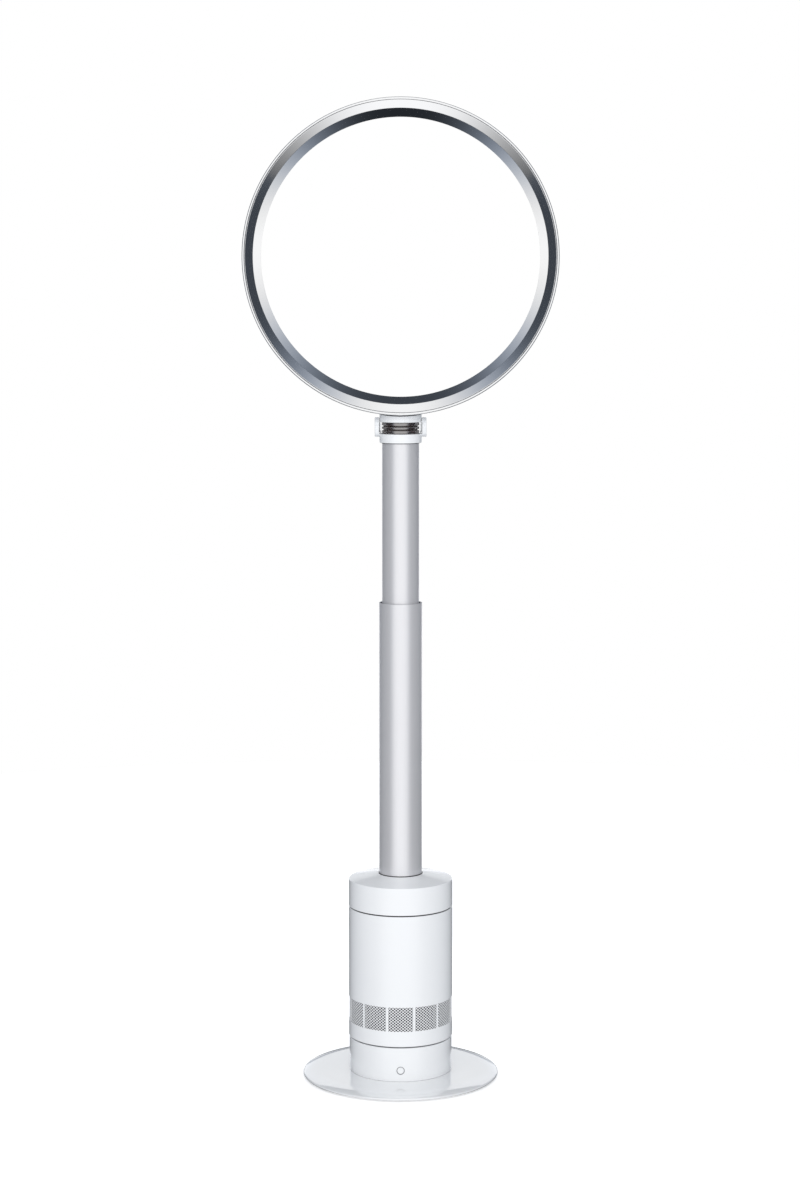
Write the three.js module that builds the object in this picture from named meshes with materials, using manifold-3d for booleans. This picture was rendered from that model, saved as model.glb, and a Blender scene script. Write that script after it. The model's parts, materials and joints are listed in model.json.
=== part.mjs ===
// A free-standing bladeless fan on a telescopic column, in millimetres.
// +Z is up, the air blows towards -Y, and the origin is the centre of the foot on the floor.
// An impeller in the base draws air in through a perforated band and pushes it up the column into a
// hollow hoop. The hoop blows it out of a thin annular slot, over a flared inner surface.

import * as THREE from "three";
import { mergeVertices } from "three/addons/utils/BufferGeometryUtils.js";
import Module from "manifold-3d";

const wasm = await Module();
wasm.setup();

// ---------------------------------------------------------------- driving sizes

const FACETS = 36; // round the outside of the base and the body
const HOOP_FACETS = 36; // round the hoop
const PLATE_FACETS = 32; // round the plate and its foot ring
const TUBE_FACETS = 24; // round the column, the neck and the inside of the body
const COARSE_FACETS = 14; // round small or hidden pieces
const SMALL_FACETS = 8; // round screws, shafts and mounts
const POST_FACETS = 6; // round the posts inside the base

const slideGap = 0.2; // radial gap of a sliding or turning fit
const seatGap = 0.1; // radial gap of a piece pushed into its seat
const looseGap = 0.3; // gap round a piece that only has to clear

const foot = { width: 6, height: 2.6, sunk: 0.6, inset: 7 };
const plate = { radius: 121, thickness: 6.5, rimHeight: 3.4, rimRound: 1.6, slope: 24 };
const ballast = { thickness: 4 };
const plateScrew = {
  count: 3, circle: 40, shank: 2, head: 3.8, headHeight: 2.2, sunk: 2.6, engagement: 8, boss: 2.6,
};

const housing = { radius: 63.5, wall: 2.5, floor: 2.5, height: 41.5, edge: 0.5 };
const deck = { thickness: 2.5, drop: 3.5, bossCount: 4, bossCircle: 54, bossRadius: 4 };
const seam = 1.4; // open joint between the fixed base and the turning body

const button = { radius: 4.2, height: 13.8, travel: 1, bezelWall: 0.8, bezelProud: 0.15, bezelDepth: 3.4 };
const buttonStem = { radius: 2, length: 6, flange: 0.7, flangeThickness: 1 };
const switchBlock = { width: 8, height: 9, depth: 4, plunger: 1.5, plungerReach: 1, bracket: 1.6, margin: 1.5 };
const gland = { bore: 3.6, wall: 1.7, flange: 1.8, flangeThickness: 2.4, height: 13, nutThickness: 3 };
const board = { width: 46, depth: 36, thickness: 1.6, lift: 4, postRadius: 2.4, offset: -14 };

const gear = {
  module: 1.2, pinionTeeth: 16, sectorTeeth: 64, width: 3.3, backlash: 0.12, pressure: 20, overrun: 13,
  backing: 3,
};
const sweep = 45; // the body turns this many degrees to either side
const stepper = {
  radius: 14, height: 18, plate: 1, ear: 5, earHalfWidth: 3.5, shaftOffset: 8, boss: 4.4, shaft: 2,
  shaftDepth: 5,
};
const hub = { radius: 15.6, bore: 11.5, length: 9.2, step: 0.9, collarHeight: 2.2, collarReach: 3.2 };
const thrustRing = { inner: 50.5, outer: 56.5, height: 3.7, step: 0.6 };
const turntable = { thickness: 3 };

const body = { radius: 64.25, wall: 2.4, height: 161.4, ledge: 3.5, ledgeHeight: 2, edge: 0.5 };
const grille = {
  count: 12, bottom: 19.4, height: 29.7, pillar: 2.6, sheet: 1, skin: 1.15, overlap: 1.8, rows: 2, columns: 3,
  bar: 1.9,
};
const cap = {
  height: 33.7, rise: 6.3, wall: 2.5, spigot: 8, gasket: 1.2, gasketInset: 0.95, landing: 1.5, rib: 9,
  edge: 0.7,
};

const bucket = {
  inletRadius: 31, inletHeight: 15, coneHeight: 26, radius: 46, height: 78, wall: 2, lip: 4, lug: 11, flange: 2,
};
const mounts = { count: 3, radius: 3.6, height: 8, bracket: 3, circle: 55, margin: 1.5 };
const impeller = {
  blades: 8, noseRadius: 13, backRadius: 33, height: 22, tipGap: 0.6, bladeThickness: 1.2, wrap: 50,
  backPlate: 2,
};
const motor = { radius: 22, length: 34, wall: 2, dome: 5, shaft: 2.5, bearing: 7, bearingHeight: 4, joint: 4 };
const diffuser = { vanes: 6, height: 22, wall: 1.5, vaneThickness: 1.6, lean: 24 };
const foam = { ringWidth: 18, ringHeight: 7 };
const adapter = { coneHeight: 18, socket: 22, wall: 2, ledge: 1.6 };

const outerTube = { radius: 26.5, wall: 1.5, exposed: 338, chamfer: 0.5 };
const tubeGasket = { width: 1.3, height: 1.5 };
const innerTube = { radius: 22.75, wall: 1.25, showing: 198, length: 447 };
const guideBush = { length: 14, recess: 0.6 };
const slideBush = { length: 12, groove: 1, ringWidth: 3.4, ringSlot: 18, start: 2 };

const neck = {
  radius: 26.15, bore: 18.5, collarHeight: 11, opening: 14.5, pivotShare: 0.55, mountHeight: 7, spigotWall: 1.1,
  spigot: 3, insert: 7, saddleGap: 0.9, saddleRise: 3.3,
};
const bellows = { ridges: 3, ridgeRadius: 22.95, valleyRadius: 20.8, wall: 0.9, crest: 1, cuff: 0.7 };
const pivot = {
  radius: 3, earRadius: 12, earThickness: 5.4, earGap: 0.6, earFoot: 9, lugThickness: 2.2, lugHalfWidth: 7,
  screwHead: 5.2, headDepth: 1.4,
};
const washer = { radius: 6.4, thickness: 0.4 };
const neckSeal = { height: 1.5, inset: 1.6 };

// The rim, the bend behind the front band, and the throat each lie inside the one before.
const hoop = {
  radius: 194, front: 54, rear: 50, wall: 2, rimInset: 2.2, rimWidth: 2.9, rimDepth: 18, widest: 44,
};
const flare = { band: 10.1, depth: 10, taper: 6.2, throatBack: 24, wall: 1.8, spacer: 3.4, spacerDepth: 16 };
const slot = { gap: 1.3, curve: 12, overlapStart: 35, overlapEnd: 52, curlEnd: 62 };
const spigotPipe = { wall: 1.7, depth: 5.5 };

// ---------------------------------------------------------------- heights worked out from the sizes

const plateBottom = foot.height - foot.sunk;
const plateTop = plateBottom + plate.thickness;
const housingTop = plateTop + housing.height;
const housingFloor = plateTop + housing.floor;
const deckTop = housingTop - deck.drop;
const deckBottom = deckTop - deck.thickness;
const thrustTop = deckTop + thrustRing.height;
const turntableBottom = thrustTop + seatGap;
const turntableTop = turntableBottom + turntable.thickness;
const bodyBottom = housingTop + seam;
const bodyTop = bodyBottom + body.height;
const bodyInner = body.radius - body.wall;
const grilleBottom = bodyBottom + grille.bottom;
const capBottom = bodyTop + cap.gasket;
const capShoulder = capBottom + cap.height;
const capTop = capShoulder + cap.rise;
const outerTubeTop = capTop + outerTube.exposed;
const neckBottom = outerTubeTop + innerTube.showing;
const innerTubeTop = neckBottom + neck.insert;
const innerTubeBottom = innerTubeTop - innerTube.length;
const openingBottom = neckBottom + neck.collarHeight;
const openingTop = openingBottom + neck.opening;
const pivotHeight = openingBottom + neck.opening * neck.pivotShare;
const mountTop = openingTop + neck.mountHeight;
const hoopBottom = mountTop + neckSeal.height;
const hoopCentre = hoopBottom + hoop.radius;
const rimRadius = hoop.radius - hoop.rimInset;
const rimInner = rimRadius - hoop.rimWidth;
const bendRadius = rimInner - flare.band;
const throatRadius = bendRadius - flare.taper;

const bucketBottom = bodyBottom + bucket.inletHeight;
const bucketConeTop = bucketBottom + bucket.coneHeight;
const bucketTop = bucketBottom + bucket.height;
const impellerBottom = bucketBottom + bucket.lip;
const impellerTop = impellerBottom + impeller.height;
const motorBottom = impellerTop + impeller.backPlate + 2;
const motorTop = motorBottom + motor.length;
const tubeSeat = bucketTop + adapter.coneHeight + adapter.ledge;

const pitchOfPinion = (gear.module * gear.pinionTeeth) / 2;
const pitchOfSector = (gear.module * gear.sectorTeeth) / 2;
const pinionAway = pitchOfSector - pitchOfPinion;
const degrees = Math.PI / 180;

// ---------------------------------------------------------------- materials

const paint = (color, roughness, metalness = 0) =>
  new THREE.MeshStandardMaterial({ color, roughness, metalness });
const glossWhite = paint(0xf1f3f5, 0.2);
const plateWhite = paint(0xeef1f4, 0.12);
const anodised = paint(0xc9c6cc, 0.38, 0.9);
const silvered = paint(0xa9adb4, 0.24, 0.95);
const darkRubber = paint(0x1e1b1c, 0.55);
const bellowsBrown = paint(0x2b2422, 0.4);
const greyPlastic = paint(0x5f6266, 0.55);
const steel = paint(0xb9bcc0, 0.3, 1);
const acetal = paint(0x2c2d30, 0.45);
const boardGreen = paint(0x1f5b3a, 0.5);
const foamGrey = paint(0x3a3c40, 0.95);

// ---------------------------------------------------------------- shape helpers

// A closed three.js geometry as a solid, whichever way its faces were wound.
function solid(geometry) {
  const bare = geometry.clone();
  for (const name of Object.keys(bare.attributes)) {
    if (name !== "position") bare.deleteAttribute(name);
  }
  const merged = mergeVertices(bare, 1e-4);
  const place = merged.getAttribute("position");
  const kept = [];
  const corners = [new THREE.Vector3(), new THREE.Vector3(), new THREE.Vector3()];
  let sixVolume = 0;
  for (let i = 0; i < merged.index.count; i += 3) {
    const face = [0, 1, 2].map((k) => merged.index.getX(i + k));
    if (new Set(face).size < 3) continue;
    face.forEach((v, k) => corners[k].fromBufferAttribute(place, v));
    sixVolume += corners[0].dot(corners[1].clone().cross(corners[2]));
    kept.push(face);
  }
  const triVerts = Uint32Array.from(kept.flatMap(([a, b, c]) => (sixVolume < 0 ? [a, c, b] : [a, b, c])));
  const mesh = new wasm.Mesh({ numProp: 3, vertProperties: new Float32Array(place.array), triVerts });
  return new wasm.Manifold(mesh);
}

function geometryOf(shape) {
  const mesh = shape.getMesh();
  const geometry = new THREE.BufferGeometry();
  geometry.setAttribute("position", new THREE.BufferAttribute(mesh.vertProperties, 3));
  geometry.setIndex(new THREE.BufferAttribute(mesh.triVerts, 1));
  geometry.computeVertexNormals();
  return geometry;
}

const join = (...shapes) => shapes.reduce((whole, next) => whole.add(next));
const cut = (shape, ...tools) => tools.reduce((rest, tool) => rest.subtract(tool), shape);

// A profile of [radius, height] points revolved about Z. It closes on itself unless it ends on the axis.
function turned(profile, facets = TUBE_FACETS) {
  return solid(latheOf(profile, facets).rotateX(Math.PI / 2));
}

// An outer skin, with its facets set so that a whole number of them fills each panel of the grille.
const turnedSkin = (profile) => turned(profile, FACETS).rotate([0, 0, 180 / FACETS]);

// A profile of [radius, depth] points revolved about Y.
function turnedAboutY(profile, facets = HOOP_FACETS) {
  return solid(latheOf(profile, facets));
}

function latheOf(profile, facets) {
  const onAxis = profile[0][0] === 0 && profile[profile.length - 1][0] === 0;
  const points = onAxis ? profile : [...profile, profile[0]];
  return new THREE.LatheGeometry(points.map(([r, h]) => new THREE.Vector2(r, h)), facets);
}

const disc = (radius, low, high, facets) =>
  turned([[0, low], [radius, low], [radius, high], [0, high]], facets);

const tube = (outer, inner, low, high, facets) =>
  turned([[inner, low], [outer, low], [outer, high], [inner, high]], facets);

function block(x0, x1, y0, y1, z0, z1) {
  const box = new THREE.BoxGeometry(x1 - x0, y1 - y0, z1 - z0);
  return solid(box.translate((x0 + x1) / 2, (y0 + y1) / 2, (z0 + z1) / 2));
}

// A rod along X or Y, from a to b, centred on the other two coordinates given.
function rodAlongX(radius, a, b, y, z, facets = COARSE_FACETS) {
  const rod = new THREE.CylinderGeometry(radius, radius, b - a, facets).rotateZ(Math.PI / 2);
  return solid(rod.translate((a + b) / 2, y, z));
}

function rodAlongY(radius, a, b, x, z, facets = COARSE_FACETS) {
  const rod = new THREE.CylinderGeometry(radius, radius, b - a, facets);
  return solid(rod.translate(x, (a + b) / 2, z));
}

// A span along X on the right side, or its mirror image on the left.
const span = (side, near, far) => (side < 0 ? [-far, -near] : [near, far]);

// Points of an arc in a profile: angles in degrees from the radial direction.
function arc(centre, radius, from, to, steps) {
  return Array.from({ length: steps + 1 }, (_, i) => {
    const angle = (from + ((to - from) * i) / steps) * degrees;
    return [centre[0] + radius * Math.cos(angle), centre[1] + radius * Math.sin(angle)];
  });
}

const around = (count, first, make) =>
  Array.from({ length: count }, (_, i) => make(first + (360 * i) / count, i));

const onCircle = (radius, angle) => [radius * Math.cos(angle * degrees), radius * Math.sin(angle * degrees)];

// A shape made on the Z axis, moved out to a point on a circle round it.
const placedOn = (radius, angle, shape) => shape.translate([...onCircle(radius, angle), 0]);

// A wedge of the space round Z, between two angles in degrees, used to cut windows and sectors.
function wedge(radius, from, to, low, high) {
  const shape = new THREE.Shape();
  const steps = Math.max(1, Math.ceil((to - from) / 30));
  shape.moveTo(0, 0);
  for (let i = 0; i <= steps; i += 1) {
    const reach = radius / Math.cos(((to - from) / steps / 2) * degrees);
    shape.lineTo(...onCircle(reach, from + ((to - from) * i) / steps));
  }
  return extruded(shape, low, high);
}

const extruded = (shape, low, high) =>
  solid(new THREE.ExtrudeGeometry(shape, { depth: high - low, bevelEnabled: false }).translate(0, 0, low));

const fan = new THREE.Group();

function piece(name, shape, material, group = fan) {
  const mesh = new THREE.Mesh(geometryOf(shape), material);
  mesh.name = name;
  group.add(mesh);
  return mesh;
}

// ---------------------------------------------------------------- foot and plate

const footOuter = plate.radius - foot.inset;
const footInner = footOuter - foot.width;
const ballastRadius = footInner - slideGap;
const screwSeat = plateBottom + plateScrew.sunk;

const footRing = () => tube(footOuter, footInner, 0, foot.height, PLATE_FACETS);

// A flat disc whose top falls away to a rounded rim, with a recess below for the ballast and the foot ring.
function basePlate() {
  const rimTop = plateBottom + plate.rimHeight;
  const rimEdge = plate.radius - plate.rimRound;
  const middle = plate.radius - plate.slope / 2;
  const crown = 0.9;
  const ceiling = plateBottom + ballast.thickness;
  const groove = plateBottom + foot.sunk;
  const profile = [
    [0, ceiling], [ballastRadius + seatGap, ceiling], [ballastRadius + seatGap, groove],
    [footOuter + seatGap, groove], [footOuter + seatGap, plateBottom], [rimEdge, plateBottom],
    ...arc([rimEdge, rimTop - plate.rimRound], plate.rimRound, 0, 80, 1),
    [middle, (rimTop + plateTop) / 2 + crown], [plate.radius - plate.slope, plateTop], [0, plateTop],
  ];
  const holes = around(plateScrew.count, 90, (angle) => screwHole(angle, ceiling - 1, plateTop + 1));
  return cut(turned(profile, PLATE_FACETS), ...holes);
}

// The steel disc sunk under the plate keeps the tall fan from toppling.
function ballastDisc() {
  const steelDisc = disc(ballastRadius, plateBottom, plateBottom + ballast.thickness, PLATE_FACETS);
  const holes = around(plateScrew.count, 90, (angle) => screwHole(angle, plateBottom - 1, plateTop));
  const counterbores = around(plateScrew.count, 90, (angle) =>
    placedOn(plateScrew.circle, angle,
      disc(plateScrew.head + looseGap, plateBottom - 1, screwSeat, SMALL_FACETS)));
  return cut(steelDisc, ...holes, ...counterbores);
}

const screwHole = (angle, low, high) =>
  placedOn(plateScrew.circle, angle, disc(plateScrew.shank + seatGap, low, high, SMALL_FACETS));

function plateScrews() {
  const bottom = screwSeat - plateScrew.headHeight;
  return around(plateScrew.count, 90, (angle) => {
    const head = disc(plateScrew.head, bottom, screwSeat, SMALL_FACETS);
    const socket = disc(plateScrew.shank * 0.9, bottom - 1, (bottom + screwSeat) / 2, 6);
    const shank = disc(plateScrew.shank, screwSeat - 0.2, housingFloor + plateScrew.engagement, SMALL_FACETS);
    return placedOn(plateScrew.circle, angle, join(cut(head, socket), shank));
  });
}

// ---------------------------------------------------------------- fixed base

const buttonHeight = plateTop + button.height;
const bezelRadius = button.radius + slideGap + button.bezelWall;
const bezelBack = -housing.radius + button.bezelDepth;
const flangeFront = bezelBack + looseGap;
const flangeBack = flangeFront + buttonStem.flangeThickness;
const stemEnd = flangeBack + buttonStem.length;
const glandHeight = plateTop + gland.height;
const glandRadius = gland.bore + gland.wall;
const boardBottom = housingFloor + board.lift;
const boardPosts = [[-1, -1], [1, -1], [-1, 1], [1, 1]].map(([sx, sy]) => [
  sx * (board.width / 2 - 4), board.offset + sy * (board.depth / 2 - 4),
]);

function baseHousing() {
  const inner = housing.radius - housing.wall;
  const skin = turnedSkin([
    [0, plateTop], [housing.radius, plateTop],
    [housing.radius, housingTop - housing.edge], [housing.radius - housing.edge, housingTop], [0, housingTop],
  ]);
  const shell = cut(skin, disc(inner, housingFloor, housingTop + 1));
  const sink = housingFloor - 0.5;
  const screwTop = housingFloor + plateScrew.engagement;
  const screwBosses = around(plateScrew.count, 90, (angle) =>
    placedOn(plateScrew.circle, angle,
      disc(plateScrew.shank + plateScrew.boss, sink, screwTop + 2, POST_FACETS)));
  const deckPosts = around(deck.bossCount, 45, (angle) =>
    placedOn(deck.bossCircle, angle, disc(deck.bossRadius, sink, deckBottom, POST_FACETS)));
  const posts = boardPosts.map(([x, y]) =>
    disc(board.postRadius, sink, boardBottom, POST_FACETS).translate([x, y, 0]));
  const screwHoles = around(plateScrew.count, 90, (angle) => screwHole(angle, plateTop - 1, screwTop + 0.5));
  const buttonHole = rodAlongY(bezelRadius + seatGap, -housing.radius - 5, -inner + 5, 0, buttonHeight);
  const glandHole = rodAlongY(glandRadius + seatGap, inner - 5, housing.radius + 5, 0, glandHeight);
  return cut(join(shell, ...screwBosses, ...deckPosts, ...posts), ...screwHoles, buttonHole, glandHole);
}

function baseDeck() {
  const edge = housing.radius - housing.wall - looseGap;
  const boss = stepper.boss + looseGap;
  const land = thrustRing.inner - looseGap;
  const sheet = turned([
    [hub.radius + slideGap, deckBottom], [edge, deckBottom], [edge, deckTop], [land, deckTop],
    [land, deckTop - thrustRing.step], [hub.radius + slideGap, deckTop - thrustRing.step],
  ]);
  return cut(sheet, disc(boss, deckBottom - 1, deckTop + 1, COARSE_FACETS).translate([0, pinionAway, 0]));
}

function buttonBezel() {
  const ring = cut(
    rodAlongY(bezelRadius, -housing.radius - 3, bezelBack, 0, buttonHeight),
    rodAlongY(bezelRadius - button.bezelWall, -housing.radius - 4, bezelBack + 1, 0, buttonHeight),
  );
  return ring.intersect(disc(housing.radius + button.bezelProud, plateTop, housingTop, FACETS * 2));
}

function powerButton() {
  const face = rodAlongY(button.radius, -housing.radius - 3, flangeFront + 0.2, 0, buttonHeight)
    .intersect(disc(housing.radius - 0.1, plateTop, housingTop, FACETS * 2));
  const flange = rodAlongY(button.radius + buttonStem.flange, flangeFront, flangeBack, 0, buttonHeight);
  const stem = rodAlongY(buttonStem.radius, flangeFront + 0.5, stemEnd, 0, buttonHeight, SMALL_FACETS);
  return join(face, flange, stem);
}

// The switch stands on a bracket behind the button, a hair past the end of the button's travel.
function buttonSwitch() {
  const front = stemEnd + button.travel + slideGap;
  const face = front + switchBlock.plungerReach;
  const back = face + switchBlock.depth;
  const bracketBack = back + switchBlock.bracket;
  const half = switchBlock.width / 2;
  const wide = half + switchBlock.margin;
  const low = buttonHeight - switchBlock.height / 2;
  const high = buttonHeight + switchBlock.height / 2;
  const plunger = rodAlongY(switchBlock.plunger, front, face + 0.5, 0, buttonHeight, SMALL_FACETS);
  const housed = block(-half, half, face, back, low, high);
  const bracket = block(-wide, wide, back - 0.2, bracketBack, housingFloor, high + 1);
  const toeTop = housingFloor + switchBlock.bracket;
  const toe = block(-wide, wide, bracketBack - 0.5, bracketBack + 3, housingFloor, toeTop);
  return join(plunger, housed, bracket, toe);
}

function cableGland() {
  const inner = housing.radius - housing.wall;
  const outside = housing.radius + gland.flangeThickness;
  const sleeve = rodAlongY(glandRadius, inner - gland.nutThickness, outside, 0, glandHeight);
  const flange = rodAlongY(glandRadius + gland.flange, housing.radius - 3, outside, 0, glandHeight)
    .subtract(disc(housing.radius + seatGap, plateTop, housingTop, FACETS * 2));
  const nutInner = inner - gland.nutThickness - 1;
  const nut = rodAlongY(glandRadius + gland.flange, nutInner, inner - 1, 0, glandHeight, 6);
  const bore = rodAlongY(gland.bore, inner - 10, housing.radius + 10, 0, glandHeight);
  return cut(join(sleeve, flange, nut), bore);
}

function controlBoard() {
  const top = boardBottom + board.thickness;
  const half = board.width / 2;
  const front = board.offset - board.depth / 2;
  const sheet = block(-half, half, front, front + board.depth, boardBottom, top);
  const transformer = block(-half + 4, -half + 18, front + 14, front + 30, top - 0.2, top + 12);
  const filter = block(half - 16, half - 5, front + 12, front + 20, top - 0.2, top + 7);
  const chip = block(-4, 6, front + 16, front + 26, top - 0.2, top + 1.8);
  const capacitors = [0, 1].map((i) =>
    disc(3.4, top - 0.2, top + 11, SMALL_FACETS).translate([half - 14 + 8.5 * i, front + 27, 0]));
  return join(sheet, transformer, filter, chip, ...capacitors);
}

// ---------------------------------------------------------------- turning drive

// The outline of an involute gear with one tooth centred on +Y.
function gearOutline(teeth, above, below, thinner) {
  const pitch = (gear.module * teeth) / 2;
  const base = pitch * Math.cos(gear.pressure * degrees);
  const involute = (a) => Math.tan(a) - a;
  const halfAngle = (r) => {
    const turn = r > base ? involute(Math.acos(base / r)) : 0;
    return Math.PI / (2 * teeth) + involute(gear.pressure * degrees) - turn - thinner / r;
  };
  const radii = [pitch - below, pitch, pitch + above];
  const shape = new THREE.Shape();
  for (let tooth = 0; tooth < teeth; tooth += 1) {
    const middle = Math.PI / 2 - (2 * Math.PI * tooth) / teeth;
    const rising = radii.map((r) => [r, middle + halfAngle(r)]);
    const falling = [...radii].reverse().map((r) => [r, middle - halfAngle(r)]);
    for (const [r, angle] of [...rising, ...falling]) {
      const at = [r * Math.cos(angle), r * Math.sin(angle)];
      if (tooth === 0 && r === radii[0] && angle > middle) shape.moveTo(...at);
      else shape.lineTo(...at);
    }
  }
  shape.closePath();
  return shape;
}

const gearTop = turntableBottom - looseGap;
const gearBottom = gearTop - gear.width;

function drivePinion() {
  const outline = gearOutline(gear.pinionTeeth, gear.module, 1.2 * gear.module, gear.backlash);
  const shaftBottom = deckBottom - stepper.shaftDepth + looseGap;
  const shaft = disc(stepper.shaft, shaftBottom, gearBottom + 0.5, SMALL_FACETS);
  return join(extruded(outline, gearBottom, gearTop), shaft).translate([0, pinionAway, 0]);
}

function driveSector() {
  const reach = sweep + gear.overrun;
  const teeth = gearOutline(gear.sectorTeeth, 1.25 * gear.module, 0.85 * gear.module, -gear.backlash);
  const outer = pitchOfSector + 1.25 * gear.module + gear.backing;
  const annulus = tube(outer, pitchOfSector - 4 * gear.module, gearBottom, turntableBottom);
  const share = wedge(outer + 2, 90 - reach, 90 + reach, gearBottom - 1, turntableBottom + 1);
  return cut(annulus.intersect(share), extruded(teeth, gearBottom - 1, turntableBottom + 1));
}

function stepperMotor() {
  const top = deckBottom - seatGap;
  const centre = pinionAway + stepper.shaftOffset;
  const plateLow = top - stepper.plate;
  const ear = stepper.radius + stepper.ear;
  const can = disc(stepper.radius, top - stepper.height, plateLow + 0.2, COARSE_FACETS);
  const strip = block(-ear, ear, centre - stepper.earHalfWidth, centre + stepper.earHalfWidth, plateLow, top);
  const lid = disc(stepper.radius - 0.5, plateLow, top, COARSE_FACETS).translate([0, centre, 0]);
  const boss = disc(stepper.boss, plateLow - 0.5, deckTop, COARSE_FACETS).translate([0, pinionAway, 0]);
  const bore = disc(stepper.shaft + slideGap, deckBottom - stepper.shaftDepth, deckTop + 1, SMALL_FACETS);
  return cut(join(can.translate([0, centre, 0]), strip, lid, boss), bore.translate([0, pinionAway, 0]));
}

function turntablePlate() {
  const edge = bodyInner - looseGap;
  const hubBottom = turntableBottom - hub.length;
  const collarTop = deckBottom - slideGap;
  const neckRadius = hub.radius - hub.step;
  return turned([
    [hub.bore, hubBottom], [neckRadius, hubBottom], [neckRadius, collarTop], [hub.radius, collarTop],
    [hub.radius, turntableBottom],
    [edge, turntableBottom], [edge, turntableTop], [hub.bore, turntableTop],
  ]);
}

// The collar pressed onto the end of the hub keeps the turning body from lifting off the deck.
function hubCollar() {
  const top = deckBottom - slideGap;
  return tube(hub.radius + hub.collarReach, hub.radius - hub.step + seatGap, top - hub.collarHeight, top);
}

// ---------------------------------------------------------------- turning body

const grilleTop = grilleBottom + grille.height;
const grilleOuter = body.radius - grille.skin - seatGap;
const grilleInner = grilleOuter - grille.sheet;
const panelAngle = 360 / grille.count - grille.pillar;

function bodyCasing() {
  const rebate = body.radius - grille.skin;
  const low = grilleBottom - grille.overlap;
  const high = grilleTop + grille.overlap;
  const ledgeInner = bodyInner - body.ledge;
  const ledgeBottom = turntableTop;
  const skin = turnedSkin([
    [0, bodyBottom], [body.radius - body.edge, bodyBottom], [body.radius, bodyBottom + body.edge],
    [body.radius, bodyTop - body.edge], [body.radius - body.edge, bodyTop], [0, bodyTop],
  ]);
  const hollow = turned([
    [0, bodyBottom - 1], [bodyInner, bodyBottom - 1], [bodyInner, ledgeBottom], [ledgeInner, ledgeBottom],
    [ledgeInner, ledgeBottom + body.ledgeHeight], [bodyInner, ledgeBottom + body.ledgeHeight],
    [bodyInner, low], [rebate, low], [rebate, high], [bodyInner, high + 2], [bodyInner, bodyTop + 1],
    [0, bodyTop + 1],
  ]);
  const shell = cut(skin, hollow);
  const windows = around(grille.count, -90, (angle) =>
    wedge(body.radius + 2, angle - panelAngle / 2, angle + panelAngle / 2, grilleBottom, grilleTop));
  const bracketTop = bucketTop - bucket.flange - mounts.height;
  const half = mounts.radius + mounts.margin;
  const bracketBottom = bracketTop - mounts.bracket;
  const bracket = block(mounts.circle - half, bodyInner + 1, -half, half, bracketBottom, bracketTop);
  const brackets = around(mounts.count, 90, (angle) => bracket.rotate([0, 0, angle]));
  const keepInside = disc(bucket.radius + 4, grilleBottom, grilleTop, COARSE_FACETS);
  const band = cut(join(...windows), keepInside);
  return join(cut(shell, band), ...brackets);
}

// The perforated sheet stands behind the windows: staggered lozenge holes between slanting bars.
function inletGrille() {
  const low = grilleBottom - grille.overlap + seatGap;
  const high = grilleTop + grille.overlap - seatGap;
  const sheet = tube(grilleOuter, grilleInner, low, high);
  const holes = [];
  const stepUp = grille.height / grille.rows;
  const stepRound = panelAngle / grille.columns;
  const arcPerDegree = grilleOuter * degrees;
  const halfHigh = stepUp / 2 - grille.bar / 2;
  const halfWide = (stepRound * arcPerDegree) / 2 - grille.bar / 2;
  const hole = lozenge(halfWide, halfHigh, grilleInner - 3, grilleOuter + 3);
  for (let panel = 0; panel < grille.count; panel += 1) {
    const middle = -90 + (360 * panel) / grille.count;
    for (let row = 0; row < 2 * grille.rows - 1; row += 1) {
      const shifted = row % 2;
      for (let column = 0; column < grille.columns - shifted; column += 1) {
        const angle = middle + stepRound * (column - (grille.columns - 1 - shifted) / 2);
        const height = grilleBottom + (stepUp * (row + 1)) / 2;
        holes.push(hole.rotate([0, 0, angle]).translate([0, 0, height]));
      }
    }
  }
  return cut(sheet, wasm.Manifold.union(holes));
}

// A four-sided hole through a wall, pointing along +X.
function lozenge(halfWide, halfHigh, from, to) {
  const shape = new THREE.Shape();
  shape.moveTo(-halfWide, 0);
  shape.lineTo(0, -halfHigh);
  shape.lineTo(halfWide, 0);
  shape.lineTo(0, halfHigh);
  shape.closePath();
  const bar = new THREE.ExtrudeGeometry(shape, { depth: to - from, bevelEnabled: false });
  return solid(bar.rotateX(Math.PI / 2).rotateZ(Math.PI / 2).translate(from, 0, 0));
}

function intakeFoam() {
  const outer = bodyInner - body.ledge - 1;
  return tube(outer, outer - foam.ringWidth, turntableTop, turntableTop + foam.ringHeight, COARSE_FACETS);
}

function topCap() {
  const hole = outerTube.radius + looseGap;
  const spigotOuter = bodyInner - looseGap;
  const spigotInner = spigotOuter - cap.wall;
  const skin = turnedSkin([
    [0, capBottom], [body.radius - body.edge, capBottom], [body.radius, capBottom + body.edge],
    [body.radius, capShoulder - cap.edge], [body.radius - cap.edge, capShoulder], [hole + cap.landing, capTop],
    [0, capTop],
  ]);
  const spigot = disc(spigotOuter, bodyTop - cap.spigot, capBottom + body.edge);
  const spigotBottom = bodyTop - cap.spigot;
  const inner = body.radius - cap.wall;
  const ribbed = hole + cap.wall;
  const hollow = turned([
    [0, spigotBottom - 1], [spigotInner, spigotBottom - 1], [spigotInner, capBottom + 2],
    [inner, capBottom + 2 + cap.wall], [inner, capShoulder - cap.wall - 1],
    [ribbed, capTop - cap.wall - 0.5], [ribbed, capTop - cap.rib], [hole, capTop - cap.rib],
    [hole, capTop + 1], [0, capTop + 1],
  ]);
  return cut(join(skin, spigot), hollow);
}

const capGasket = () => tube(body.radius - cap.gasketInset, bodyInner, bodyTop, capBottom);

// ---------------------------------------------------------------- blower

const shroudRadius = (height) => {
  const share = Math.min(1, Math.max(0, (height - impellerBottom) / (bucketConeTop - impellerBottom)));
  return bucket.inletRadius + (bucket.radius - bucket.inletRadius) * share;
};

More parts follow.
